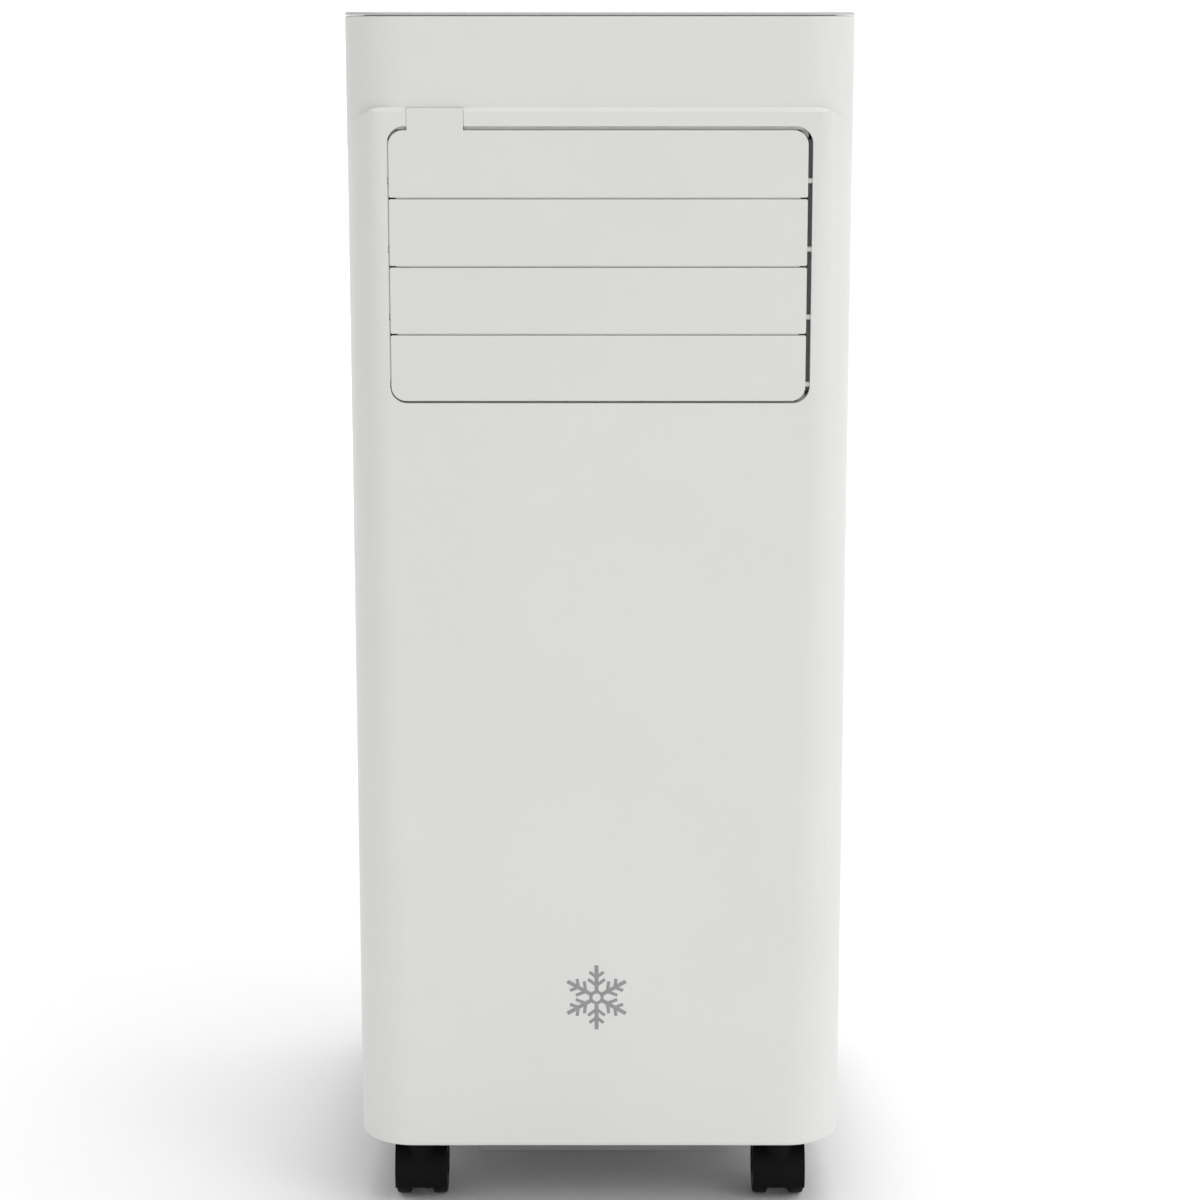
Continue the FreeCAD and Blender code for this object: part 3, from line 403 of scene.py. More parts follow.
@dataclass(frozen=True)
class Gloss:
    """Polished dark plastic with finger marks and a few specks of dust."""

    name: str
    colour: Triple
    roughness: float

    def build(self) -> bpy.types.Material:
        """Make the material."""
        recipe = Recipe(self.name)
        smear = recipe.noise(0.02, 4.0, recipe.mapped((1.0, 2.5, 1.0)))
        dust = recipe.noise(0.9 * MM, 1.0).ramp(0.74, 0.82)
        ripple = recipe.noise(0.03, 1.0)
        normal, edge = recipe.soft_edge(0.3 * MM)
        base = recipe.mix(dust * 0.25, tone(self.colour), (0.30, 0.30, 0.29, 1.0))
        base = recipe.mix(edge * 0.4, base, tone(self.colour, 1.6))
        rough = self.roughness + smear.ramp(0.45, 0.75) * 0.12 + dust * 0.4
        return recipe.finish(
            Base_Color=base,
            Roughness=rough,
            Normal=recipe.bump(ripple, 0.03 * MM, normal),
            Coat_Weight=0.3 - dust * 0.3,
            Coat_Roughness=0.04,
        )


@dataclass(frozen=True)
class Foam:
    """Expanded foam: fused beads a few millimetres across, with open seams between them."""

    name: str
    colour: Triple
    bead: float = 3.2 * MM

    def build(self) -> bpy.types.Material:
        """Make the material."""
        recipe = Recipe(self.name)
        wall = recipe.cells(self.bead)
        seam = 1.0 - wall.ramp(0.0, 0.12)
        tint = recipe.noise(self.bead * 1.3, 1.0)
        base = recipe.mix(tint, tone(self.colour, 0.94), tone(self.colour, 1.04))
        base = recipe.mix(seam * 0.5, base, tone(self.colour, 0.72))
        return recipe.finish(
            Base_Color=base,
            Roughness=0.75 + seam * 0.15,
            Normal=recipe.bump(wall.ramp(0.0, 0.3), 0.25 * MM),
        )


@dataclass(frozen=True)
class Metal:
    """Bare or plated metal with drawn or rolled lines and dull stains."""

    name: str
    colour: Triple
    stain: Triple
    roughness: float
    line: Triple = (1.0, 1.0, 12.0)
    stained: float = 0.5

    def build(self) -> bpy.types.Material:
        """Make the material."""
        recipe = Recipe(self.name)
        lines = recipe.noise(1.1 * MM, 2.0, recipe.mapped(self.line))
        spangle = recipe.noise(7.0 * MM, 3.0)
        blotch = recipe.noise(0.022, 4.0).ramp(0.52, 0.72)
        normal, edge = recipe.soft_edge(0.25 * MM)
        base = recipe.mix(spangle.ramp(0.35, 0.65), tone(self.colour, 0.92), tone(self.colour, 1.05))
        base = recipe.mix(blotch * self.stained, base, tone(self.stain))
        base = recipe.mix(edge * 0.5, base, tone(self.colour, 1.12))
        rough = self.roughness + (lines - 0.5) * 0.22 + blotch * 0.15 - edge * 0.06
        return recipe.finish(
            Base_Color=base,
            Metallic=1.0 - blotch * self.stained * 0.6,
            Roughness=rough,
            Normal=recipe.bump(lines, 0.01 * MM, normal),
        )


@dataclass(frozen=True)
class Painted:
    """Sprayed steel: orange peel, and bare bright metal where the edges are rubbed."""

    name: str
    colour: Triple
    roughness: float

    def build(self) -> bpy.types.Material:
        """Make the material."""
        recipe = Recipe(self.name)
        peel = recipe.noise(1.8 * MM, 1.0)
        chip = recipe.noise(1.2 * MM, 3.0)
        normal, edge = recipe.soft_edge(0.5 * MM)
        bare = edge * chip.ramp(0.58, 0.64)
        base = recipe.mix(peel, tone(self.colour, 0.9), tone(self.colour, 1.15))
        base = recipe.mix(bare, base, (0.36, 0.35, 0.34, 1.0))
        return recipe.finish(
            Base_Color=base,
            Metallic=bare,
            Roughness=self.roughness + (chip - 0.5) * 0.12,
            Normal=recipe.bump(peel, 0.04 * MM, normal),
        )


@dataclass(frozen=True)
class Board:
    """Green lacquer over a printed circuit: raised tracks, pads and a fine weave."""

    name: str
    colour: Triple
    track: float = 2.2 * MM

    def build(self) -> bpy.types.Material:
        """Make the material."""
        recipe = Recipe(self.name)
        run = (recipe.axis(1) * (1.0 / self.track)).fraction()
        bend = recipe.noise(0.02, 0.0).ramp(0.46, 0.5)
        across = (recipe.axis(0) * (1.0 / self.track)).fraction()
        lines = (abs(run - 0.5) < 0.2) * bend + (abs(across - 0.5) < 0.2) * (1.0 - bend)
        weave = (recipe.axis(0) * 6000.0).sine() * (recipe.axis(1) * 6000.0).sine()
        base = recipe.mix(lines, tone(self.colour, 0.75), tone(self.colour, 1.45))
        return recipe.finish(
            Base_Color=base,
            Roughness=0.28 + weave * 0.05,
            Normal=recipe.bump(lines, 0.035 * MM),
        )


@dataclass(frozen=True)
class Weave:
    """Fine square-woven screen: round threads with open holes between them."""

    name: str
    colour: Triple
    pitch: float

    def build(self) -> bpy.types.Material:
        """Make the material."""
        recipe = Recipe(self.name)
        warp = abs((recipe.axis(0) * (1.0 / self.pitch)).fraction() - 0.5)
        weft = abs((recipe.axis(2) * (1.0 / self.pitch)).fraction() - 0.5)
        near = warp.lesser(weft)
        lint = recipe.noise(0.012, 4.0).ramp(0.5, 0.8)
        base = recipe.mix(lint * 0.5, tone(self.colour), (0.30, 0.29, 0.27, 1.0))
        return recipe.finish(
            Base_Color=base,
            Roughness=0.55 + lint * 0.3,
            Alpha=near < 0.24,
            Normal=recipe.bump(1.0 - near.ramp(0.0, 0.24), 0.2 * MM),
        )


@dataclass(frozen=True)
class Rubber:
    """Matt rubber with bloom and fine pits."""

    name: str
    colour: Triple

    def build(self) -> bpy.types.Material:
        """Make the material."""
        recipe = Recipe(self.name)
        pits = recipe.noise(0.5 * MM, 3.0)
        bloom = recipe.noise(0.008, 4.0).ramp(0.45, 0.75)
        normal, edge = recipe.soft_edge(0.4 * MM)
        base = recipe.mix(bloom * 0.4 + edge * 0.3, tone(self.colour), tone(self.colour, 2.4))
        return recipe.finish(
            Base_Color=base,
            Roughness=0.72 + (pits - 0.5) * 0.2,
            Normal=recipe.bump(pits, 0.03 * MM, normal),
        )


@dataclass(frozen=True)
class Ink:
    """Pad-printed ink: flat colour with pinholes and a slightly uneven film."""

    name: str
    colour: Triple
    under: Triple

    def build(self) -> bpy.types.Material:
        """Make the material."""
        recipe = Recipe(self.name)
        pinhole = recipe.noise(0.35 * MM, 2.0).ramp(0.68, 0.74)
        film = recipe.noise(4.0 * MM, 2.0)
        base = recipe.mix(film, tone(self.colour, 0.93), tone(self.colour, 1.07))
        base = recipe.mix(pinhole * 0.6, base, tone(self.under))
        return recipe.finish(
            Base_Color=base, Roughness=0.4 + film * 0.12, Normal=recipe.bump(film, 0.01 * MM)
        )


@dataclass(frozen=True)
class Glow:
    """Lit display segment, brightest along its middle."""

    name: str
    colour: Triple
    strength: float

    def build(self) -> bpy.types.Material:
        """Make the material."""
        recipe = Recipe(self.name)
        uneven = recipe.noise(1.4 * MM, 1.0)
        light = recipe.mix(uneven, tone(self.colour, 0.8), tone(self.colour, 1.15))
        return recipe.finish(
            Base_Color=light, Emission_Color=light, Emission_Strength=self.strength, Roughness=0.3
        )


class Finish(Enum):
    """Every finish on the machine."""

    SHELL = Moulding("shell_white", (0.742, 0.739, 0.722), 0.40)
    # Lid darkened from the shell's white to a grey, as painted shade on its top rim.
    LID_PAINTED_SHADE = Moulding("lid_grey_painted_shade", (0.520, 0.518, 0.506), 0.42)
    SLAT = Moulding("slat_white", (0.735, 0.732, 0.715), 0.38, depth=0.008 * MM)
    TRIM = Moulding("trim_grey", (0.150, 0.154, 0.158), 0.50, worn=1.2)
    DUCT = Moulding("duct_pale", (0.520, 0.520, 0.512), 0.48)
    # Dark grey: on the louvre links it is painted shade for the right-hand gap; on the condenser scroll
    # it is the part's own colour.
    INNER = Moulding("inner_grey", (0.055, 0.056, 0.058), 0.55, worn=1.25)
    FAN = Moulding("fan_black", (0.018, 0.018, 0.019), 0.42, worn=1.6)
    BUTTON = Moulding("button_grey", (0.520, 0.520, 0.515), 0.34, grain=0.3 * MM)
    HOOD = Scuffed("castor_hood", (0.0040, 0.0042, 0.0041), (0.035, 0.034, 0.033), 0.02)
    WHEEL = Scuffed("castor_wheel", (0.0045, 0.0047, 0.0046), (0.06, 0.057, 0.054), 0.03)
    FASCIA = Gloss("fascia_black", (0.012, 0.012, 0.014), 0.07)
    LENS = Gloss("display_smoke", (0.006, 0.006, 0.008), 0.03)
    FOAM = Foam("bead_foam", (0.50, 0.53, 0.56))
    STEEL = Metal("motor_zinc", (0.56, 0.57, 0.58), (0.30, 0.31, 0.31), 0.38)
    SCREW = Metal("screw_zinc", (0.60, 0.60, 0.61), (0.34, 0.33, 0.30), 0.30, (1.0, 10.0, 1.0), 0.3)
    FIN = Metal("fin_aluminium", (0.88, 0.89, 0.90), (0.70, 0.72, 0.72), 0.42, stained=0.25)
    PIPE = Metal("pipe_copper", (0.80, 0.40, 0.25), (0.32, 0.14, 0.09), 0.30, (1.0, 1.0, 6.0), 0.6)
    POT = Painted("compressor_paint", (0.020, 0.020, 0.021), 0.34)
    BOARD = Board("board_green", (0.012, 0.090, 0.035))
    CHIP = Moulding("chip_black", (0.014, 0.014, 0.015), 0.50, edge=0.15 * MM)
    RUBBER = Rubber("rubber_black", (0.018, 0.018, 0.018))
    SCREEN = Weave("filter_screen", (0.022, 0.024, 0.026), 1.3 * MM)
    MARK = Ink("mark_grey", (0.290, 0.294, 0.300), (0.68, 0.68, 0.66))
    LEGEND = Ink("legend_grey", (0.060, 0.062, 0.065), (0.50, 0.50, 0.50))
    DIGIT = Glow("digit_light", (0.62, 0.85, 1.0), 1.6)


class Slot(Enum):
    """Names of material slots, passed with the fine parts but not used."""

    WHITE = "white_plastic"
    GREY = "grey_plastic"
    BLACK = "black_plastic"
    NYLON = "castor_nylon"
    DISPLAY = "display"
    BUTTON = "button_plastic"
    COIL = "coil_aluminium"
    MOTOR = "motor_steel"
    COPPER = "copper"
    SCREW = "screw_steel"
    FILTER = "filter_mesh"


# Mesh building


def turn_to(direction: Triple) -> Matrix:
    """Matrix that turns +z to a direction."""
    return Vector((0.0, 0.0, 1.0)).rotation_difference(Vector(direction)).to_matrix().to_4x4()


def turn_about(centre: Triple, angle: float, axis: str) -> Matrix:
    """Matrix that turns about an axis through a point."""
    away, home = Matrix.Translation(-Vector(centre)), Matrix.Translation(Vector(centre))
    return home @ Matrix.Rotation(angle, 4, axis) @ away


def flat_ring(inner: float, outer: float, top: float) -> list[tuple[float, float]]:
    """Closed profile of a flat ring, from its two radii and its thickness."""
    return [(inner, 0.0), (outer, 0.0), (outer, top), (inner, top), (inner, 0.0)]


class Axis(Enum):
    """Direction that a turned piece points in."""

    X = (1.0, 0.0, 0.0)
    Y = (0.0, 1.0, 0.0)
    Z = (0.0, 0.0, 1.0)

    def turn(self) -> Matrix:
        """Matrix that turns +z to this direction."""
        return turn_to(self.value)


class Shape:
    """A mesh under construction, made with mesh operators in the machine's own frame."""

    def __init__(self) -> None:
        """Start empty."""
        self.mesh = bmesh.new()

    def soften(self, edges: Iterable[bmesh.types.BMEdge], width: float, steps: int) -> None:
        """Round some edges.

        Args:
            edges: The edges.
            width: Width of the rounding, in metres.
            steps: Segments across it.
        """
        bmesh.ops.bevel(
            self.mesh,
            geom=list(edges),
            offset=width,
            offset_type="OFFSET",
            segments=steps,
            profile=0.5,
            affect="EDGES",
            material=-1,
            clamp_overlap=True,
        )

    def box(
        self, low: Sequence[float], high: Sequence[float], bevel: float = 0.0, turn: Matrix | None = None
    ) -> None:
        """Add a box.

        Args:
            low: Lowest corner.
            high: Highest corner.
            bevel: Width of its rounded edges.
            turn: A last turn or move for the whole box.
        """
        size = Vector(high) - Vector(low)
        centre = (Vector(high) + Vector(low)) / 2
        place = Matrix.Translation(centre) @ Matrix.Diagonal((*size, 1.0))
        made = bmesh.ops.create_cube(self.mesh, size=1.0, matrix=(turn or Matrix()) @ place)
        if bevel:
            self.soften({edge for vert in made["verts"] for edge in vert.link_edges}, bevel, 2)

    def rod(
        self,
        start: Sequence[float],
        axis: Axis,
        length: float,
        radius: float,
        steps: int = 24,
        bevel: float = 0.0,
    ) -> None:
        """Add a round bar.

        Args:
            start: Centre of its first end.
            axis: The way it runs.
            length: Its length.
            radius: Its radius.
            steps: Sides.
            bevel: Width of the rounding of its rims.
        """
        place = Matrix.Translation(Vector(start)) @ axis.turn() @ Matrix.Translation((0, 0, length / 2))
        made = bmesh.ops.create_cone(
            self.mesh,
            cap_ends=True,
            cap_tris=False,
            segments=steps,
            radius1=radius,
            radius2=radius,
            depth=length,
            matrix=place,
        )
        if bevel:
            edges = {edge for vert in made["verts"] for edge in vert.link_edges}
            rims = {e for e in edges if any(len(face.verts) > 4 for face in e.link_faces)}
            self.soften(rims, bevel, 2)

    def spin(
        self,
        geom: list[Any],
        centre: Sequence[float],
        axis: Sequence[float],
        angle: float,
        steps: int,
        merge: bool = False,
        copy: bool = False,
    ) -> None:
        """Sweep or repeat geometry round an axis.

        Args:
            geom: What is turned.
            centre: A point on the axis.
            axis: Its direction.
            angle: How far it turns.
            steps: In how many steps.
            merge: Whether the end joins the start.
            copy: Whether it is repeated instead of swept.
        """
        bmesh.ops.spin(
            self.mesh,
            geom=geom,
            cent=Vector(centre),
            axis=Vector(axis),
            dvec=(0.0, 0.0, 0.0),
            angle=angle,
            steps=steps,
            use_merge=merge,
            use_duplicate=copy,
        )

    def lathe(
        self,
        profile: Sequence[tuple[float, float]],
        centre: Sequence[float],
        axis: Axis,
        steps: int = 48,
    ) -> None:
        """Spin a profile fully round an axis.

        Args:
            profile: Points as (radius, distance along the axis), ending where it starts for a ring.
            centre: Where the axis begins.
            axis: Direction of the axis.
            steps: Steps of the spin.
        """
        place = Matrix.Translation(Vector(centre)) @ axis.turn()
        verts = [self.mesh.verts.new(place @ Vector((r, 0.0, along))) for r, along in profile]
        edges = [self.mesh.edges.new(pair) for pair in zip(verts, verts[1:])]
        self.spin(verts + edges, centre, axis.value, FULL_TURN, steps, merge=True)
        self.close()

    def hairpin(self, first: Sequence[float], second: Sequence[float], out: Triple, tube: float) -> None:
        """Add the half-round bend that joins two tubes.

        Args:
            first: Centre of the first tube's end.
            second: Centre of the second tube's end.
            out: The way both tubes point.
            tube: Their radius.
        """
        start, end = Vector(first), Vector(second)
        ring = bmesh.ops.create_circle(
            self.mesh,
            cap_ends=False,
            segments=8,
            radius=tube,
            matrix=Matrix.Translation(start) @ turn_to(out),
        )
        edges = list({edge for vert in ring["verts"] for edge in vert.link_edges})
        across = (end - start).cross(Vector(out))
        self.spin(ring["verts"] + edges, (start + end) / 2, across, -FULL_TURN / 2, 8)

    def close(self) -> None:
        """Merge doubles, cap open rims and turn every face outwards."""
        bmesh.ops.remove_doubles(self.mesh, verts=self.mesh.verts, dist=1e-7)
        rims = [edge for edge in self.mesh.edges if edge.is_boundary]
        if rims:
            bmesh.ops.holes_fill(self.mesh, edges=rims, sides=0)
        bmesh.ops.recalc_face_normals(self.mesh, faces=self.mesh.faces)

    def around(self, centre: Sequence[float], axis: Axis, count: int) -> None:
        """Repeat everything so far evenly round an axis.

        Args:
            centre: A point on the axis.
            axis: Its direction.
            count: How many there are in all.
        """
        geom = self.mesh.verts[:] + self.mesh.edges[:] + self.mesh.faces[:]
        angle = FULL_TURN * (count - 1) / count
        self.spin(geom, centre, axis.value, angle, count - 1, copy=True)

    def join(self, other: Shape) -> None:
        """Take in another shape, which is used up."""
        data = bpy.data.meshes.new("joining")
        other.mesh.to_mesh(data)
        other.mesh.free()
        self.mesh.from_mesh(data)
        bpy.data.meshes.remove(data)

    def piece(self, name: str, finish: Finish, slot: Slot, body: str) -> bpy.types.Object:
        """Turn the mesh into a finished piece of the machine.

        Args:
            name: The piece's name.
            finish: What it is dressed in.
            slot: The record's slot for that finish; not used.
            body: The body it moves with.

        Returns:
            The object, at the origin.
        """
        data = bpy.data.meshes.new(name)
        self.mesh.to_mesh(data)
        self.mesh.free()
        data.shade_smooth()
        data.set_sharp_from_angle(angle=CREASE)
        data.materials.append(PALETTE.of(finish))
        piece = bpy.data.objects.new(name, data)
        bpy.context.scene.collection.objects.link(piece)
        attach(piece, body)
        log.info("%s: %d faces on %s", name, len(data.polygons), body)
        return piece


class Palette:
    """Keeps one material for each finish."""

    def __init__(self) -> None:
        """Start with none made."""
        self.made: dict[Finish, bpy.types.Material] = {}

    def of(self, finish: Finish) -> bpy.types.Material:
        """Give a finish's material, making it the first time."""
        if finish not in self.made:
            self.made[finish] = finish.value.build()
        return self.made[finish]


PALETTE = Palette()


class Assembly:
    """A group of solids that are dressed together, with the fine parts that go on them."""

    dressing: dict[Finish, tuple[str, ...]] = {}

    def dress(self) -> None:
        """Give each solid of the group its finish."""
        for finish, names in self.dressing.items():
            for name in names:
                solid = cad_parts[name]
                solid.data.materials.clear()
                solid.data.materials.append(PALETTE.of(finish))
                log.info("%s: %s", name, finish.value.name)

    def build(self) -> None:
        """Add the group's fine parts."""


# The machine


@dataclass
class Casing(Assembly):
    """Shells, lid, base and everything fixed to them."""

    mark_at: Triple = (-2.0 * MM, -163.0 * MM, 140.0 * MM)
    mark_arm: tuple[float, float] = (3.2 * MM, 19.5 * MM)
    mark_twigs: tuple[tuple[float, float], ...] = ((7.2 * MM, 6.2 * MM), (12.2 * MM, 5.2 * MM))
    mark_ring: tuple[float, float] = (2.4 * MM, 4.2 * MM)
    mark_stroke: float = 2.3 * MM
    ink: float = 0.12 * MM
    screws_x: tuple[float, ...] = (-112.0 * MM, 112.0 * MM)
    screws_z: tuple[float, ...] = (90.0 * MM, 265.0 * MM, 395.0 * MM, 672.0 * MM)
    cross_half: float = 0.45 * MM
    cross_reach: float = 2.1 * MM
    cross_depth: float = 0.3 * MM
    collar_middle: Triple = (0.0, 0.0, 330 * MM)
    lug: tuple[Triple, Triple] = ((-9 * MM, 156.2 * MM, 402 * MM), (9 * MM, 158.8 * MM, 405.5 * MM))
    lug_count: int = 4
    dressing = {
        Finish.SHELL: (
            "front_shell",
            "rear_shell",
            "side_handle_left",
            "side_handle_right",
            "lower_grille",
            "exhaust_collar",
        ),
        # The lid's grey is painted shade on its rim.
        Finish.LID_PAINTED_SHADE: ("top_cover",),
        Finish.TRIM: ("base_pan",),
        Finish.FAN: ("cord_gland",),
        Finish.SCREW: ("case_screws",),
        Finish.RUBBER: ("drain_plug",),
    }

    def mark(self) -> None:
        """Print a plain snowflake low on the front."""
        x, y, z = self.mark_at
        half = self.mark_stroke / 2
        start, end = self.mark_arm
        shape = Shape()
        shape.box((x - half, y - self.ink, z + start), (x + half, y, z + end), 0.04 * MM)
        for reach, length in self.mark_twigs:
            for lean in (-52, 52):
                turn = turn_about((x, 0.0, z + reach), math.radians(lean), "Y")
                low = (x - half * 0.8, y - self.ink * 0.9, z + reach)
                high = (x + half * 0.8, y, z + reach + length)
                shape.box(low, high, 0.03 * MM, turn)
        shape.around((x, y, z), Axis.Y, 6)
        depth = self.ink * 0.95
        shape.lathe(flat_ring(*self.mark_ring, depth), (x, y - depth, z), Axis.Y)
        shape.piece("front_mark", Finish.MARK, Slot.GREY, "casing")

    def painted_shade_crosses(self) -> None:
        """Lay a dark cross on each screw head of the back, as painted shade for its recess."""
        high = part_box("case_screws")[1]
        shape = Shape()
        half, reach, depth = self.cross_half, self.cross_reach, self.cross_depth
        top = high.y + 0.03 * MM
        for x in self.screws_x:
            for z in self.screws_z:
                # A black box standing on the head paints the shade in the cross recess; nothing is sunk.
                shape.box((x - half, top - depth, z - reach), (x + half, top, z + reach))
                shape.box((x - reach, top - depth, z - half), (x + reach, top - 0.01 * MM, z + half))
        shape.piece("painted_shade_crosses", Finish.FAN, Slot.SCREW, "casing")

    def collar_lugs(self) -> None:
        """Add the bayonet lugs that hold a hose round the exhaust collar."""
        shape = Shape()
        shape.box(*self.lug, 0.5 * MM)
        shape.around(self.collar_middle, Axis.Y, self.lug_count)
        shape.piece("collar_lugs", Finish.SHELL, Slot.WHITE, "casing")

    def build(self) -> None:
        """Add the mark, the painted shade of the screw crosses and the collar's lugs."""
        self.mark()
        self.painted_shade_crosses()
        self.collar_lugs()


@dataclass
class Controls(Assembly):
    """Gloss fascia in the lid, its display and its six buttons."""

    # Radius of the ring in a sign; start, end and direction of its strokes.
    rings = {"power": 2.5 * MM, "timer": 2.5 * MM, "fan": 1.0 * MM}
    strokes = {
        "power": [(0.6 * MM, 3.4 * MM, 0)],
        "mode": [(1.3 * MM, 2.9 * MM, angle) for angle in range(0, 360, 60)],
        "fan": [(0.9 * MM, 3.0 * MM, angle) for angle in range(0, 360, 90)],
        "timer": [(0.0, 1.8 * MM, 0), (0.0, 1.3 * MM, 120)],
        "cooler": [(0.0, 2.4 * MM, 90), (0.0, 2.4 * MM, -90)],
        "warmer": [(0.0, 2.4 * MM, angle) for angle in range(0, 360, 90)],
    }
    # In millimetres: x, y, width, depth and height of a chip, then x, y and radius of a capacitor.
    chips = (
        (-60, -97, 16, 12, 2.2),
        (-30, -104, 10, 6, 1.6),
        (28, -92, 18, 15, 12),
        (52, -92, 18, 15, 12),
        (0, -88, 12, 12, 1.6),
        (74, -108, 20, 8, 9),
    )
    cans = ((-76, -84, 4), (-66, -80, 4), (-48, -80, 5), (12, -110, 3.2), (20, -110, 3.2))
    stroke: float = 0.55 * MM
    film: float = 0.06 * MM
    digit: tuple[float, float] = (7.0 * MM, 12.5 * MM)
    bar: float = 1.1 * MM
    can_height: float = 11 * MM
    dressing = {
        Finish.FASCIA: ("control_fascia",),
        Finish.LENS: ("display_lens",),
        Finish.BOARD: ("control_board",),
        Finish.BUTTON: tuple(f"button_{name}" for name in BUTTONS),
    }

    def _ring(self, shape: Shape, centre: Triple, radius: float) -> None:
        """Add a thin printed ring.

        Args:
            shape: The shape to add it to.
            centre: Its centre, on the button's top.
            radius: Its outer radius.
        """
        shape.lathe(flat_ring(radius - self.stroke, radius, self.film), centre, Axis.Z, 32)

    def _stroke(self, shape: Shape, centre: Triple, start: float, end: float, degrees: float) -> None:
        """Add a printed bar that points away from a centre.

        Args:
            shape: The shape to add it to.
            centre: The centre, on the button's top.
            start: Where the bar begins, from the centre.
            end: Where it stops.
            degrees: Its direction, clockwise from the back.
        """
        x, y, z = centre
        half = self.stroke / 2
        turn = turn_about((x, y, 0.0), -math.radians(degrees), "Z")
        shape.box((x - half, y + start, z), (x + half, y + end, z + self.film * 0.96), 0.0, turn)

    def glyph(self, name: str) -> None:
        """Print one button's sign.

        Args:
            name: The button.
        """
        low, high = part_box(f"button_{name}")
        centre = ((low.x + high.x) / 2, (low.y + high.y) / 2, high.z)
        shape = Shape()
        if name in self.rings:
            self._ring(shape, centre, self.rings[name])
        for start, end, degrees in self.strokes[name]:
            self._stroke(shape, centre, start, end, degrees)
        shape.piece(f"sign_{name}", Finish.LEGEND, Slot.BUTTON, f"button_{name}")

    def digits(self) -> None:
        """Light the two numbers of the display, and a small degree ring."""
        low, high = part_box("display_lens")
        width, height = self.digit
        shape = Shape()
        bar = self.bar
        middle = (low.y + high.y) / 2
        lit = {"2": "abged", "4": "fgbc"}
        for number, left in (("2", -9.5 * MM), ("4", 0.5 * MM)):
            right, bottom, top = left + width, middle - height / 2, middle + height / 2
            spans = {
                "a": ((left + bar, top - bar), (right - bar, top)),
                "g": ((left + bar, middle - bar / 2), (right - bar, middle + bar / 2)),
                "d": ((left + bar, bottom), (right - bar, bottom + bar)),
                "f": ((left, middle + bar / 2), (left + bar, top - bar / 2)),
                "b": ((right - bar, middle + bar / 2), (right, top - bar / 2)),
                "e": ((left, bottom + bar / 2), (left + bar, middle - bar / 2)),
                "c": ((right - bar, bottom + bar / 2), (right, middle - bar / 2)),
            }
            for segment in lit[number]:
                (x0, y0), (x1, y1) = spans[segment]
                shape.box((x0, y0, high.z), (x1, y1, high.z + 0.05 * MM), 0.02 * MM)
        self._ring(shape, (10.5 * MM, middle + 5.0 * MM, high.z), 1.3 * MM)
        shape.piece("display_digits", Finish.DIGIT, Slot.DISPLAY, "casing")

    def components(self) -> None:
        """Fit chips, a relay row and capacitors under the board."""
        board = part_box("control_board")[0].z
        chips, cans = Shape(), Shape()
        for x, y, width, depth, tall in self.chips:
            near = ((x - width / 2) * MM, (y - depth / 2) * MM, board - tall * MM)
            far = ((x + width / 2) * MM, (y + depth / 2) * MM, board)
            chips.box(near, far, 0.4 * MM)
        for x, y, radius in self.cans:
            foot = (x * MM, y * MM, board - self.can_height)
            cans.rod(foot, Axis.Z, self.can_height, radius * MM, 20, 0.5 * MM)
        chips.piece("board_chips", Finish.CHIP, Slot.BLACK, "casing")
        cans.piece("board_capacitors", Finish.STEEL, Slot.MOTOR, "casing")

    def build(self) -> None:
        """Add the signs, the lit numbers and the board's parts."""
        for name in BUTTONS:
            self.glyph(name)
        self.digits()
        self.components()


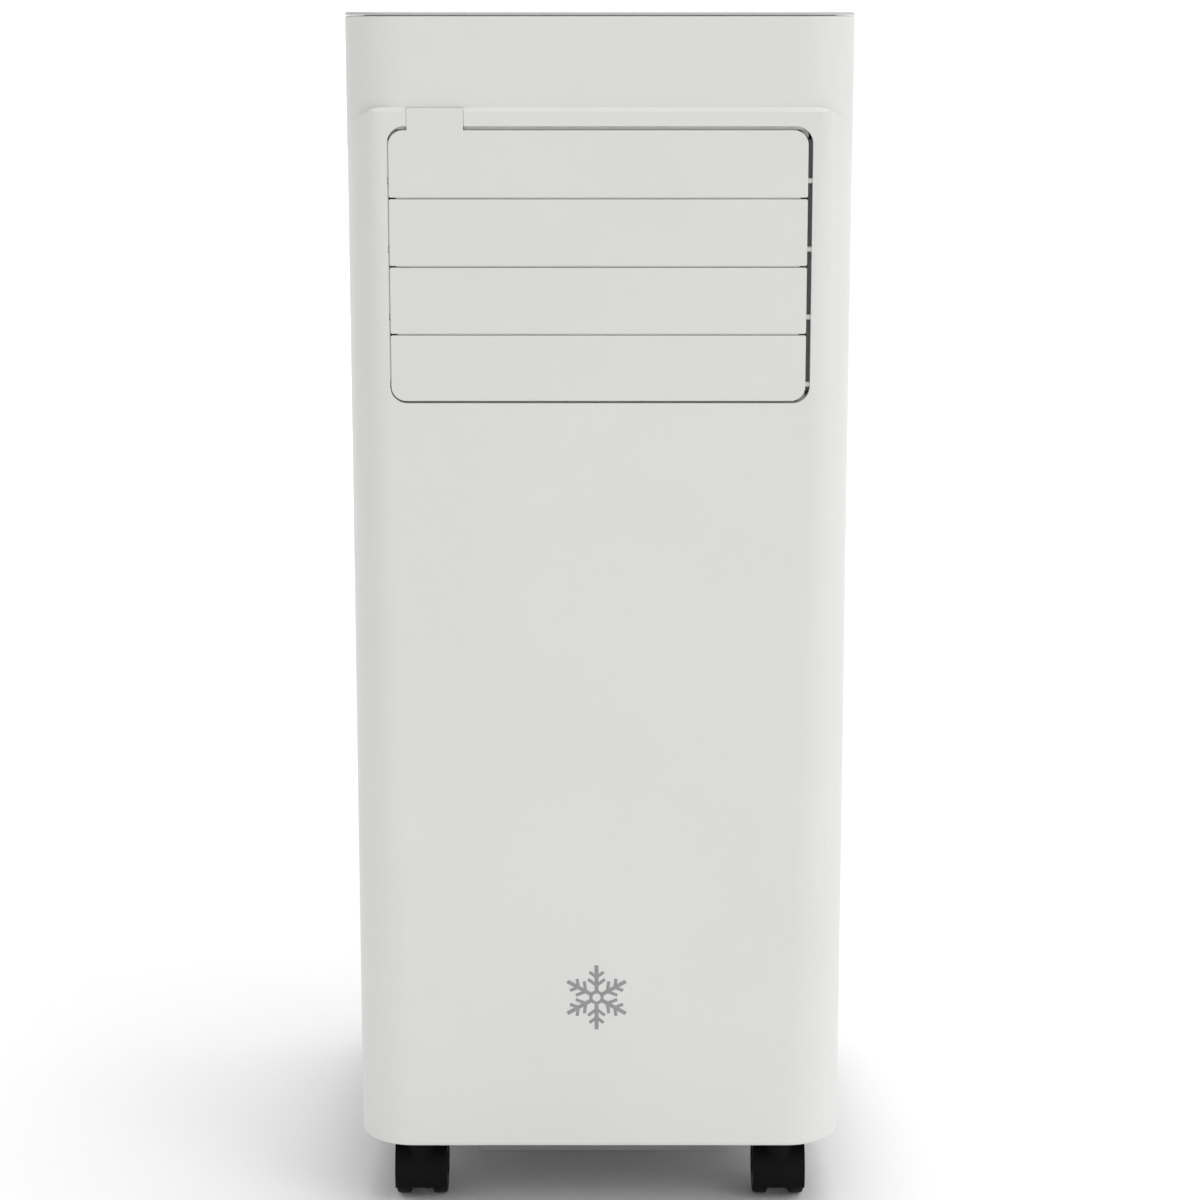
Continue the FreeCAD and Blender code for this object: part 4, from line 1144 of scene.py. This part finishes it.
@dataclass
class Louvre(Assembly):
    """Front slats, upright vanes, their links and the duct behind them."""

    dressing = {
        Finish.SLAT: ("slat_1", "slat_2", "slat_3", "slat_4"),
        Finish.DUCT: ("discharge_duct", "vane_1", "vane_2", "vane_3", "vane_4"),
        # The links are dark as painted shade, so the right-hand gap in front of them looks shaded.
        Finish.INNER: ("slat_link", "vane_link"),
    }
    # In millimetres: front, back, and how far below and above the seam each bar of a lip reaches.
    lip_bars = ((-162.1, -160.3, 0.6, 0.05), (-159.85, -159.1, 1.5, 1.0), (-160.05, -159.1, -0.6, 2.5))
    half: float = 116.5 * MM
    bottom: float = 486.7 * MM
    top: float = 638.7 * MM
    corner: float = 9.5 * MM
    ledge_at: float = -158.3 * MM
    ledge_thick: float = 1.0 * MM
    ledge_low: float = 487.4 * MM
    ledge_high: float = 636.75 * MM
    sink: float = 0.05 * MM
    sill_front: float = -160.0 * MM
    sill_low: float = 636.8 * MM
    tab_room: float = 0.1 * MM
    strip: tuple[float, float] = (-162.3 * MM, -161.0 * MM)
    strip_edge: float = -116.05 * MM
    pin_room: float = 1.8 * MM
    fillets: tuple[Triple, ...] = ((1, 1, 7.1 * MM), (-1, 1, 8.4 * MM), (1, -1, 8.0 * MM))
    fillet_half: float = 4.5 * MM
    # Left edge of the dark sheet of painted shade in the right-hand gap.
    shade_sheet_left: float = 114.2 * MM
    slat_low: float = 487.9 * MM
    pitch: float = 37.4 * MM
    pivot_up: float = 9.1 * MM
    tab: tuple[float, float] = (-105.9 * MM, -74.5 * MM)
    tab_low: float = 638.9 * MM
    tab_top: float = 648.7 * MM
    tab_depth: tuple[float, float] = (-162.75 * MM, -160.2 * MM)
    lip_ends: tuple[float, float] = (-112 * MM, 110 * MM)

    def ledge(self) -> None:
        """Line the opening with a narrow ledge beside the slats, to stop draughts, and set a dark sheet
        in its right-hand gap as painted shade.
        """
        front, back = self.ledge_at, self.ledge_at + self.ledge_thick
        left, right = -self.half - self.sink, self.half + self.sink
        bottom, top = self.bottom - self.sink, self.top + self.sink
        shape = Shape()
        shape.box((left, front, self.ledge_high), (right, back, top))
        for x0, x1 in ((left, self.tab[0] - self.tab_room), (self.tab[1] + self.tab_room, right)):
            shape.box((x0, self.sill_front, self.sill_low), (x1, front + self.sink, top))
        shape.box((left, front, bottom), (right, back, self.ledge_low))
        pins = [self.slat_low + self.pivot_up + step * self.pitch for step in range(4)]
        for low, high in zip([bottom] + pins, pins + [top]):
            low, high = low + self.pin_room, high - self.pin_room
            shape.box((left, self.strip[0], low), (self.strip_edge, self.strip[1], high))
        for side, up, inner in self.fillets:
            x = side * (self.half - self.corner)
            z = self.top - self.corner if up > 0 else self.bottom + self.corner
            turn = Matrix.Translation((x, 0.0, z)) @ Matrix.Rotation(math.atan2(side, up), 4, "Y")
            outer = (self.fillet_half, back, self.corner + 0.2 * MM)
            shape.box((-self.fillet_half, front, inner), outer, 0.0, turn)
        shape.piece("louvre_ledge", Finish.SHELL, Slot.WHITE, "casing")
        # A dark grey sheet across the right-hand gap is painted shade, where that gap falls in shadow.
        shade_sheet = Shape()
        shade_sheet.box((self.shade_sheet_left, front, bottom), (right, back, top))
        shade_sheet.piece("right_gap_painted_shade", Finish.TRIM, Slot.GREY, "casing")

    def lips(self) -> None:
        """Give each slat but the lowest a tongue and a lip that cover the top edge of the next."""
        left, right = self.lip_ends
        for number in (1, 2, 3):
            low = self.slat_low + (4 - number) * self.pitch
            shape = Shape()
            for front, back, below, above in self.lip_bars:
                near, far = (left, front * MM, low - below * MM), (right, back * MM, low + above * MM)
                shape.box(near, far, 0.04 * MM)
            shape.piece(f"slat_{number}_lip", Finish.SLAT, Slot.WHITE, f"slat_{number}")

    def tab_rim(self) -> None:
        """Step the sides of the finger tab, so that it nearly closes its notch."""
        (left, right), (front, back) = self.tab, self.tab_depth
        shape = Shape()
        shape.box((left, front, self.tab_low), (right, back, self.tab_top))
        shape.piece("tab_rim", Finish.SLAT, Slot.WHITE, "slat_1")

    def build(self) -> None:
        """Add the ledge, the lips and the tab's rim."""
        self.ledge()
        self.lips()
        self.tab_rim()


@dataclass
class Coil:
    """A finned heat exchanger: a stack of thin plates on copper tubes with hairpin bends."""

    name: str
    node: str
    rows: int
    fin: float = 0.3 * MM
    pitch: float = 1.5 * MM
    tube: float = 2.6 * MM
    side_room: float = 7.0 * MM
    columns: tuple[float, float] = (0.3, 0.7)
    end_half: float = 0.6 * MM
    stub: float = 1.2 * MM
    bend_start: float = 0.8
    bend_tube: float = 0.98

    def fins(self, low: Vector, high: Vector) -> bpy.types.Object:
        """Stack the plates, with a thicker one at each end.

        Args:
            low: Lowest corner of the stack.
            high: Highest corner of the stack.

        Returns:
            The piece.
        """
        shape = Shape()
        count = round((high.x - low.x) / self.pitch)
        for index in range(count + 1):
            x = low.x + (high.x - low.x) * index / count
            half = self.fin / 2 if 0 < index < count else self.end_half
            shape.box((x - half, low.y, low.z), (x + half, high.y, high.z))
        return shape.piece(f"{self.name}_fins", Finish.FIN, Slot.COIL, "casing")

    def tubes(self, low: Vector, high: Vector) -> None:
        """Run the tubes through the plates and join each pair with a hairpin at both ends.

        Args:
            low: Lowest corner of the stack.
            high: Highest corner of the stack.
        """
        shape = Shape()
        step = (high.z - low.z) / self.rows
        front, back = (low.y + share * (high.y - low.y) for share in self.columns)
        left, length = low.x - self.stub, high.x - low.x + 2 * self.stub
        inset = self.bend_start * self.stub
        for row in range(self.rows):
            z = low.z + (row + 0.5) * step
            for y in (front, back):
                shape.rod((left, y, z), Axis.X, length, self.tube, 8)
            for x, out in ((low.x - inset, -1.0), (high.x + inset, 1.0)):
                shape.hairpin((x, front, z), (x, back, z), (out, 0.0, 0.0), self.tube * self.bend_tube)
        shape.close()
        shape.piece(f"{self.name}_tubes", Finish.PIPE, Slot.COPPER, "casing")

    def build(self) -> None:
        """Make the plates and the tubes in place of the plain block."""
        low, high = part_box(self.node)
        low.x += self.side_room
        high.x -= self.side_room
        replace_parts(self.fins(low, high), self.node)
        self.tubes(low, high)


@dataclass
class ColdSide(Assembly):
    """Evaporator, its blower and the tray under them."""

    dressing = {
        Finish.FOAM: ("evaporator_scroll", "drip_tray"),
        Finish.STEEL: ("evaporator_motor",),
        Finish.FAN: ("evaporator_fan",),
    }
    rows: int = 10

    def build(self) -> None:
        """Add the finned coil."""
        Coil("cold_coil", "evaporator_coil", self.rows).build()


@dataclass
class HotSide(Assembly):
    """Condenser, its blower, the compressor and their pipes."""

    dressing = {
        Finish.INNER: ("condenser_scroll",),
        Finish.TRIM: ("power_box", "splash_wheel"),
        Finish.STEEL: ("condenser_motor", "splash_motor"),
        Finish.FAN: ("condenser_fan",),
        Finish.POT: ("compressor",),
        Finish.RUBBER: ("compressor_grommets",),
        Finish.PIPE: ("refrigerant_pipes",),
    }
    rows: int = 7

    def build(self) -> None:
        """Add the finned coil."""
        Coil("hot_coil", "condenser_coil", self.rows).build()


@dataclass
class IntakeDoor(Assembly):
    """Hinged back grille and the screen clipped inside it."""

    rim: float = 5.0 * MM
    rib: float = 1.6 * MM
    inset: float = 2.0 * MM
    uprights: tuple[float, ...] = (0.25, 0.5, 0.75)
    upright_half: float = 1.2 * MM
    crossbars: tuple[float, ...] = (0.2, 0.4, 0.6, 0.8)
    crossbar_half: float = 1.1 * MM
    net_half: float = 0.12 * MM
    dressing = {Finish.SHELL: ("upper_grille",)}

    def build(self) -> None:
        """Make the filter's frame, ribs and woven screen."""
        low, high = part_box("air_filter")
        net_y = (low.y + high.y) / 2
        edge = Shape()
        for z0, z1 in ((low.z, low.z + self.rim), (high.z - self.rim, high.z)):
            edge.box((low.x, low.y, z0), (high.x, high.y, z1), 0.8 * MM)
        for x0, x1 in ((low.x, low.x + self.rim), (high.x - self.rim, high.x)):
            edge.box((x0, low.y, low.z + self.rim), (x1, high.y, high.z - self.rim), 0.8 * MM)
        half, inset = self.rib / 2, self.inset
        for share in self.uprights:
            x = low.x + share * (high.x - low.x)
            foot = (x - half, net_y - self.upright_half, low.z + inset)
            edge.box(foot, (x + half, net_y + self.upright_half, high.z - inset), 0.4 * MM)
        for share in self.crossbars:
            z = low.z + share * (high.z - low.z)
            foot = (low.x + inset, net_y - self.crossbar_half, z - half)
            edge.box(foot, (high.x - inset, net_y + self.crossbar_half, z + half), 0.4 * MM)
        holder = edge.piece("filter_frame", Finish.TRIM, Slot.GREY, "intake_door")
        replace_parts(holder, "air_filter")
        net = Shape()
        net.box(
            (low.x + inset, net_y - self.net_half, low.z + inset),
            (high.x - inset, net_y + self.net_half, high.z - inset),
        )
        net.piece("filter_screen", Finish.SCREEN, Slot.FILTER, "intake_door")


@dataclass
class Castors(Assembly):
    """Four swivelling twin-wheel castors."""

    dressing = {
        Finish.HOOD: tuple(f"castor_{corner}_hood" for corner in CORNERS),
        Finish.WHEEL: tuple(f"castor_{corner}_wheels" for corner in CORNERS),
        Finish.STEEL: tuple(f"castor_{corner}_axle" for corner in CORNERS),
    }
    hub: float = 8.5 * MM
    cap: float = 0.5 * MM
    band: float = 1.3 * MM
    boss: float = 3.4 * MM
    spokes: int = 6
    spoke_half: float = 0.7 * MM
    spoke_start: float = 3.0 * MM
    spoke_end: float = 7.5 * MM

    def hubs(self, corner: str) -> None:
        """Fit a ribbed hub cap to the outside of both wheels of one castor.

        Args:
            corner: Which castor.
        """
        low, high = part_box(f"castor_{corner}_wheels")
        y, z = (low.y + high.y) / 2, (low.z + high.z) / 2
        shape = Shape()
        for face, side in ((low.x, -1.0), (high.x, 1.0)):
            ring = Shape()
            ring.box(
                (min(face, face + side * self.cap), y - self.spoke_half, z + self.spoke_start),
                (max(face, face + side * self.cap), y + self.spoke_half, z + self.spoke_end),
                0.15 * MM,
            )
            ring.around((face, y, z), Axis.X, self.spokes)
            tip = side * self.cap
            inner, outer, boss = self.hub - self.band, self.hub, self.boss
            rim = [(inner, 0.0), (outer, 0.0), (outer, 0.7 * tip), (outer - 0.4 * MM, tip)]
            ring.lathe(rim + [(inner, tip), (inner, 0.0)], (face, y, z), Axis.X, 32)
            middle = [(0.0, 0.0), (boss, 0.0), (boss, 0.7 * tip), (boss - 0.5 * MM, tip), (0.0, tip)]
            ring.lathe(middle, (face, y, z), Axis.X, 24)
            shape.join(ring)
        shape.piece(f"castor_{corner}_hubs", Finish.HOOD, Slot.NYLON, f"castor_{corner}_wheelset")

    def build(self) -> None:
        """Add the hub caps."""
        for corner in CORNERS:
            self.hubs(corner)


@dataclass
class Studio:
    """Pale sweep, soft lights and the camera."""

    floor_reach: float = 9.0
    floor_back: float = 6.0
    sweep: float = 1.6
    camera_at: Triple = (0.0, -1.760, 0.700)
    camera_tilt: float = 11.5
    lens: float = 86.76
    dim_side: float = 0.57
    bright_side: float = 0.87
    lamps: tuple[tuple[str, Triple, Triple, tuple[float, float], float], ...] = (
        ("key", (1.9, -2.2, 2.1), (0.0, 0.0, 0.4), (1.2, 1.2), 10.6),
        ("side", (2.3, -0.6, 1.5), (0.0, 0.0, 0.6), (0.25, 1.4), 2.0),
        ("fill", (-2.2, -1.0, 2.0), (0.0, 0.0, 0.8), (0.8, 0.8), 2.6),
        ("overhead", (0.3, 0.2, 3.2), (0.1, 0.3, 0.0), (1.8, 1.8), 32.0),
        ("backdrop", (0.0, 2.2, 3.4), (0.0, 7.0, 1.2), (4.0, 1.0), 160.0),
    )

    def floor(self) -> None:
        """Lay the floor and curve it up behind."""
        shape = Shape()
        reach = self.floor_reach
        bmesh.ops.create_grid(shape.mesh, x_segments=1, y_segments=1, size=reach)
        back = [edge for edge in shape.mesh.edges if all(vert.co.y > 0 for vert in edge.verts)]
        bmesh.ops.translate(shape.mesh, verts=back[0].verts[:], vec=(0.0, self.floor_back - reach, 0.0))
        raised = bmesh.ops.extrude_edge_only(shape.mesh, edges=back)
        tops = [item for item in raised["geom"] if isinstance(item, bmesh.types.BMVert)]
        bmesh.ops.translate(shape.mesh, verts=tops, vec=(0.0, 0.0, reach))
        shape.soften(back, self.sweep, 24)
        data = bpy.data.meshes.new("floor")
        shape.mesh.to_mesh(data)
        shape.mesh.free()
        data.shade_smooth()
        recipe = Recipe("studio_paper")
        fibre = recipe.noise(2.0 * MM, 3.0)
        base = recipe.mix(fibre, (0.93, 0.93, 0.93, 1.0), (0.95, 0.95, 0.95, 1.0))
        data.materials.append(recipe.finish(Base_Color=base, Roughness=0.9))
        ground = bpy.data.objects.new("floor", data)
        bpy.context.scene.collection.objects.link(ground)
        log.info("floor of %d faces", len(data.polygons))

    def light(self, name: str, at: Triple, aim: Triple, size: tuple[float, float], power: float) -> None:
        """Hang one soft light.

        Args:
            name: Its name.
            at: Where it hangs.
            aim: The point it faces.
            size: Its width and height.
            power: Its power in watts.
        """
        lamp = bpy.data.lights.new(name, "AREA")
        lamp.shape = "RECTANGLE"
        lamp.size, lamp.size_y = size
        lamp.energy = power
        holder = bpy.data.objects.new(name, lamp)
        holder.location = at
        holder.rotation_euler = (Vector(aim) - Vector(at)).to_track_quat("-Z", "Y").to_euler()
        bpy.context.scene.collection.objects.link(holder)

    def lights(self) -> None:
        """Light the tower from the upper right, with a weak fill and a pale surround."""
        world = bpy.data.worlds.new("surround")
        world.use_nodes = True
        tree = world.node_tree
        background = tree.nodes["Background"]
        background.inputs["Color"].default_value = (1.0, 1.0, 1.0, 1.0)
        coordinates = tree.nodes.new("ShaderNodeTexCoord")
        split = tree.nodes.new("ShaderNodeSeparateXYZ")
        spread = tree.nodes.new("ShaderNodeMapRange")
        spread.interpolation_type = "SMOOTHSTEP"
        spread.inputs["From Min"].default_value = -1.0
        spread.inputs["From Max"].default_value = 0.6
        spread.inputs["To Min"].default_value = self.dim_side
        spread.inputs["To Max"].default_value = self.bright_side
        tree.links.new(coordinates.outputs["Generated"], split.inputs["Vector"])
        tree.links.new(split.outputs["X"], spread.inputs["Value"])
        tree.links.new(spread.outputs["Result"], background.inputs["Strength"])
        bpy.context.scene.world = world
        for lamp in self.lamps:
            self.light(*lamp)

    def camera(self) -> None:
        """Set the camera level with the lid, tipped down to the middle of the tower."""
        data = bpy.data.cameras.new("view")
        data.lens = self.lens
        data.sensor_width = 36.0
        data.clip_end = 100.0
        camera = bpy.data.objects.new("view", data)
        camera.location = self.camera_at
        camera.rotation_euler = (math.radians(90.0 - self.camera_tilt), 0.0, 0.0)
        bpy.context.scene.collection.objects.link(camera)
        bpy.context.scene.camera = camera

    def build(self) -> None:
        """Set everything up."""
        self.floor()
        self.lights()
        self.camera()
        bpy.context.scene.view_settings.view_transform = "Standard"


def main() -> None:
    """Dress the machine, add its fine parts and set up the studio."""
    logging.basicConfig(level=logging.INFO, format="%(name)s: %(message)s")
    Studio().build()
    for assembly in (Casing(), Controls(), Louvre(), ColdSide(), HotSide(), IntakeDoor(), Castors()):
        assembly.dress()
        assembly.build()


if __name__ == "__main__":
    main()
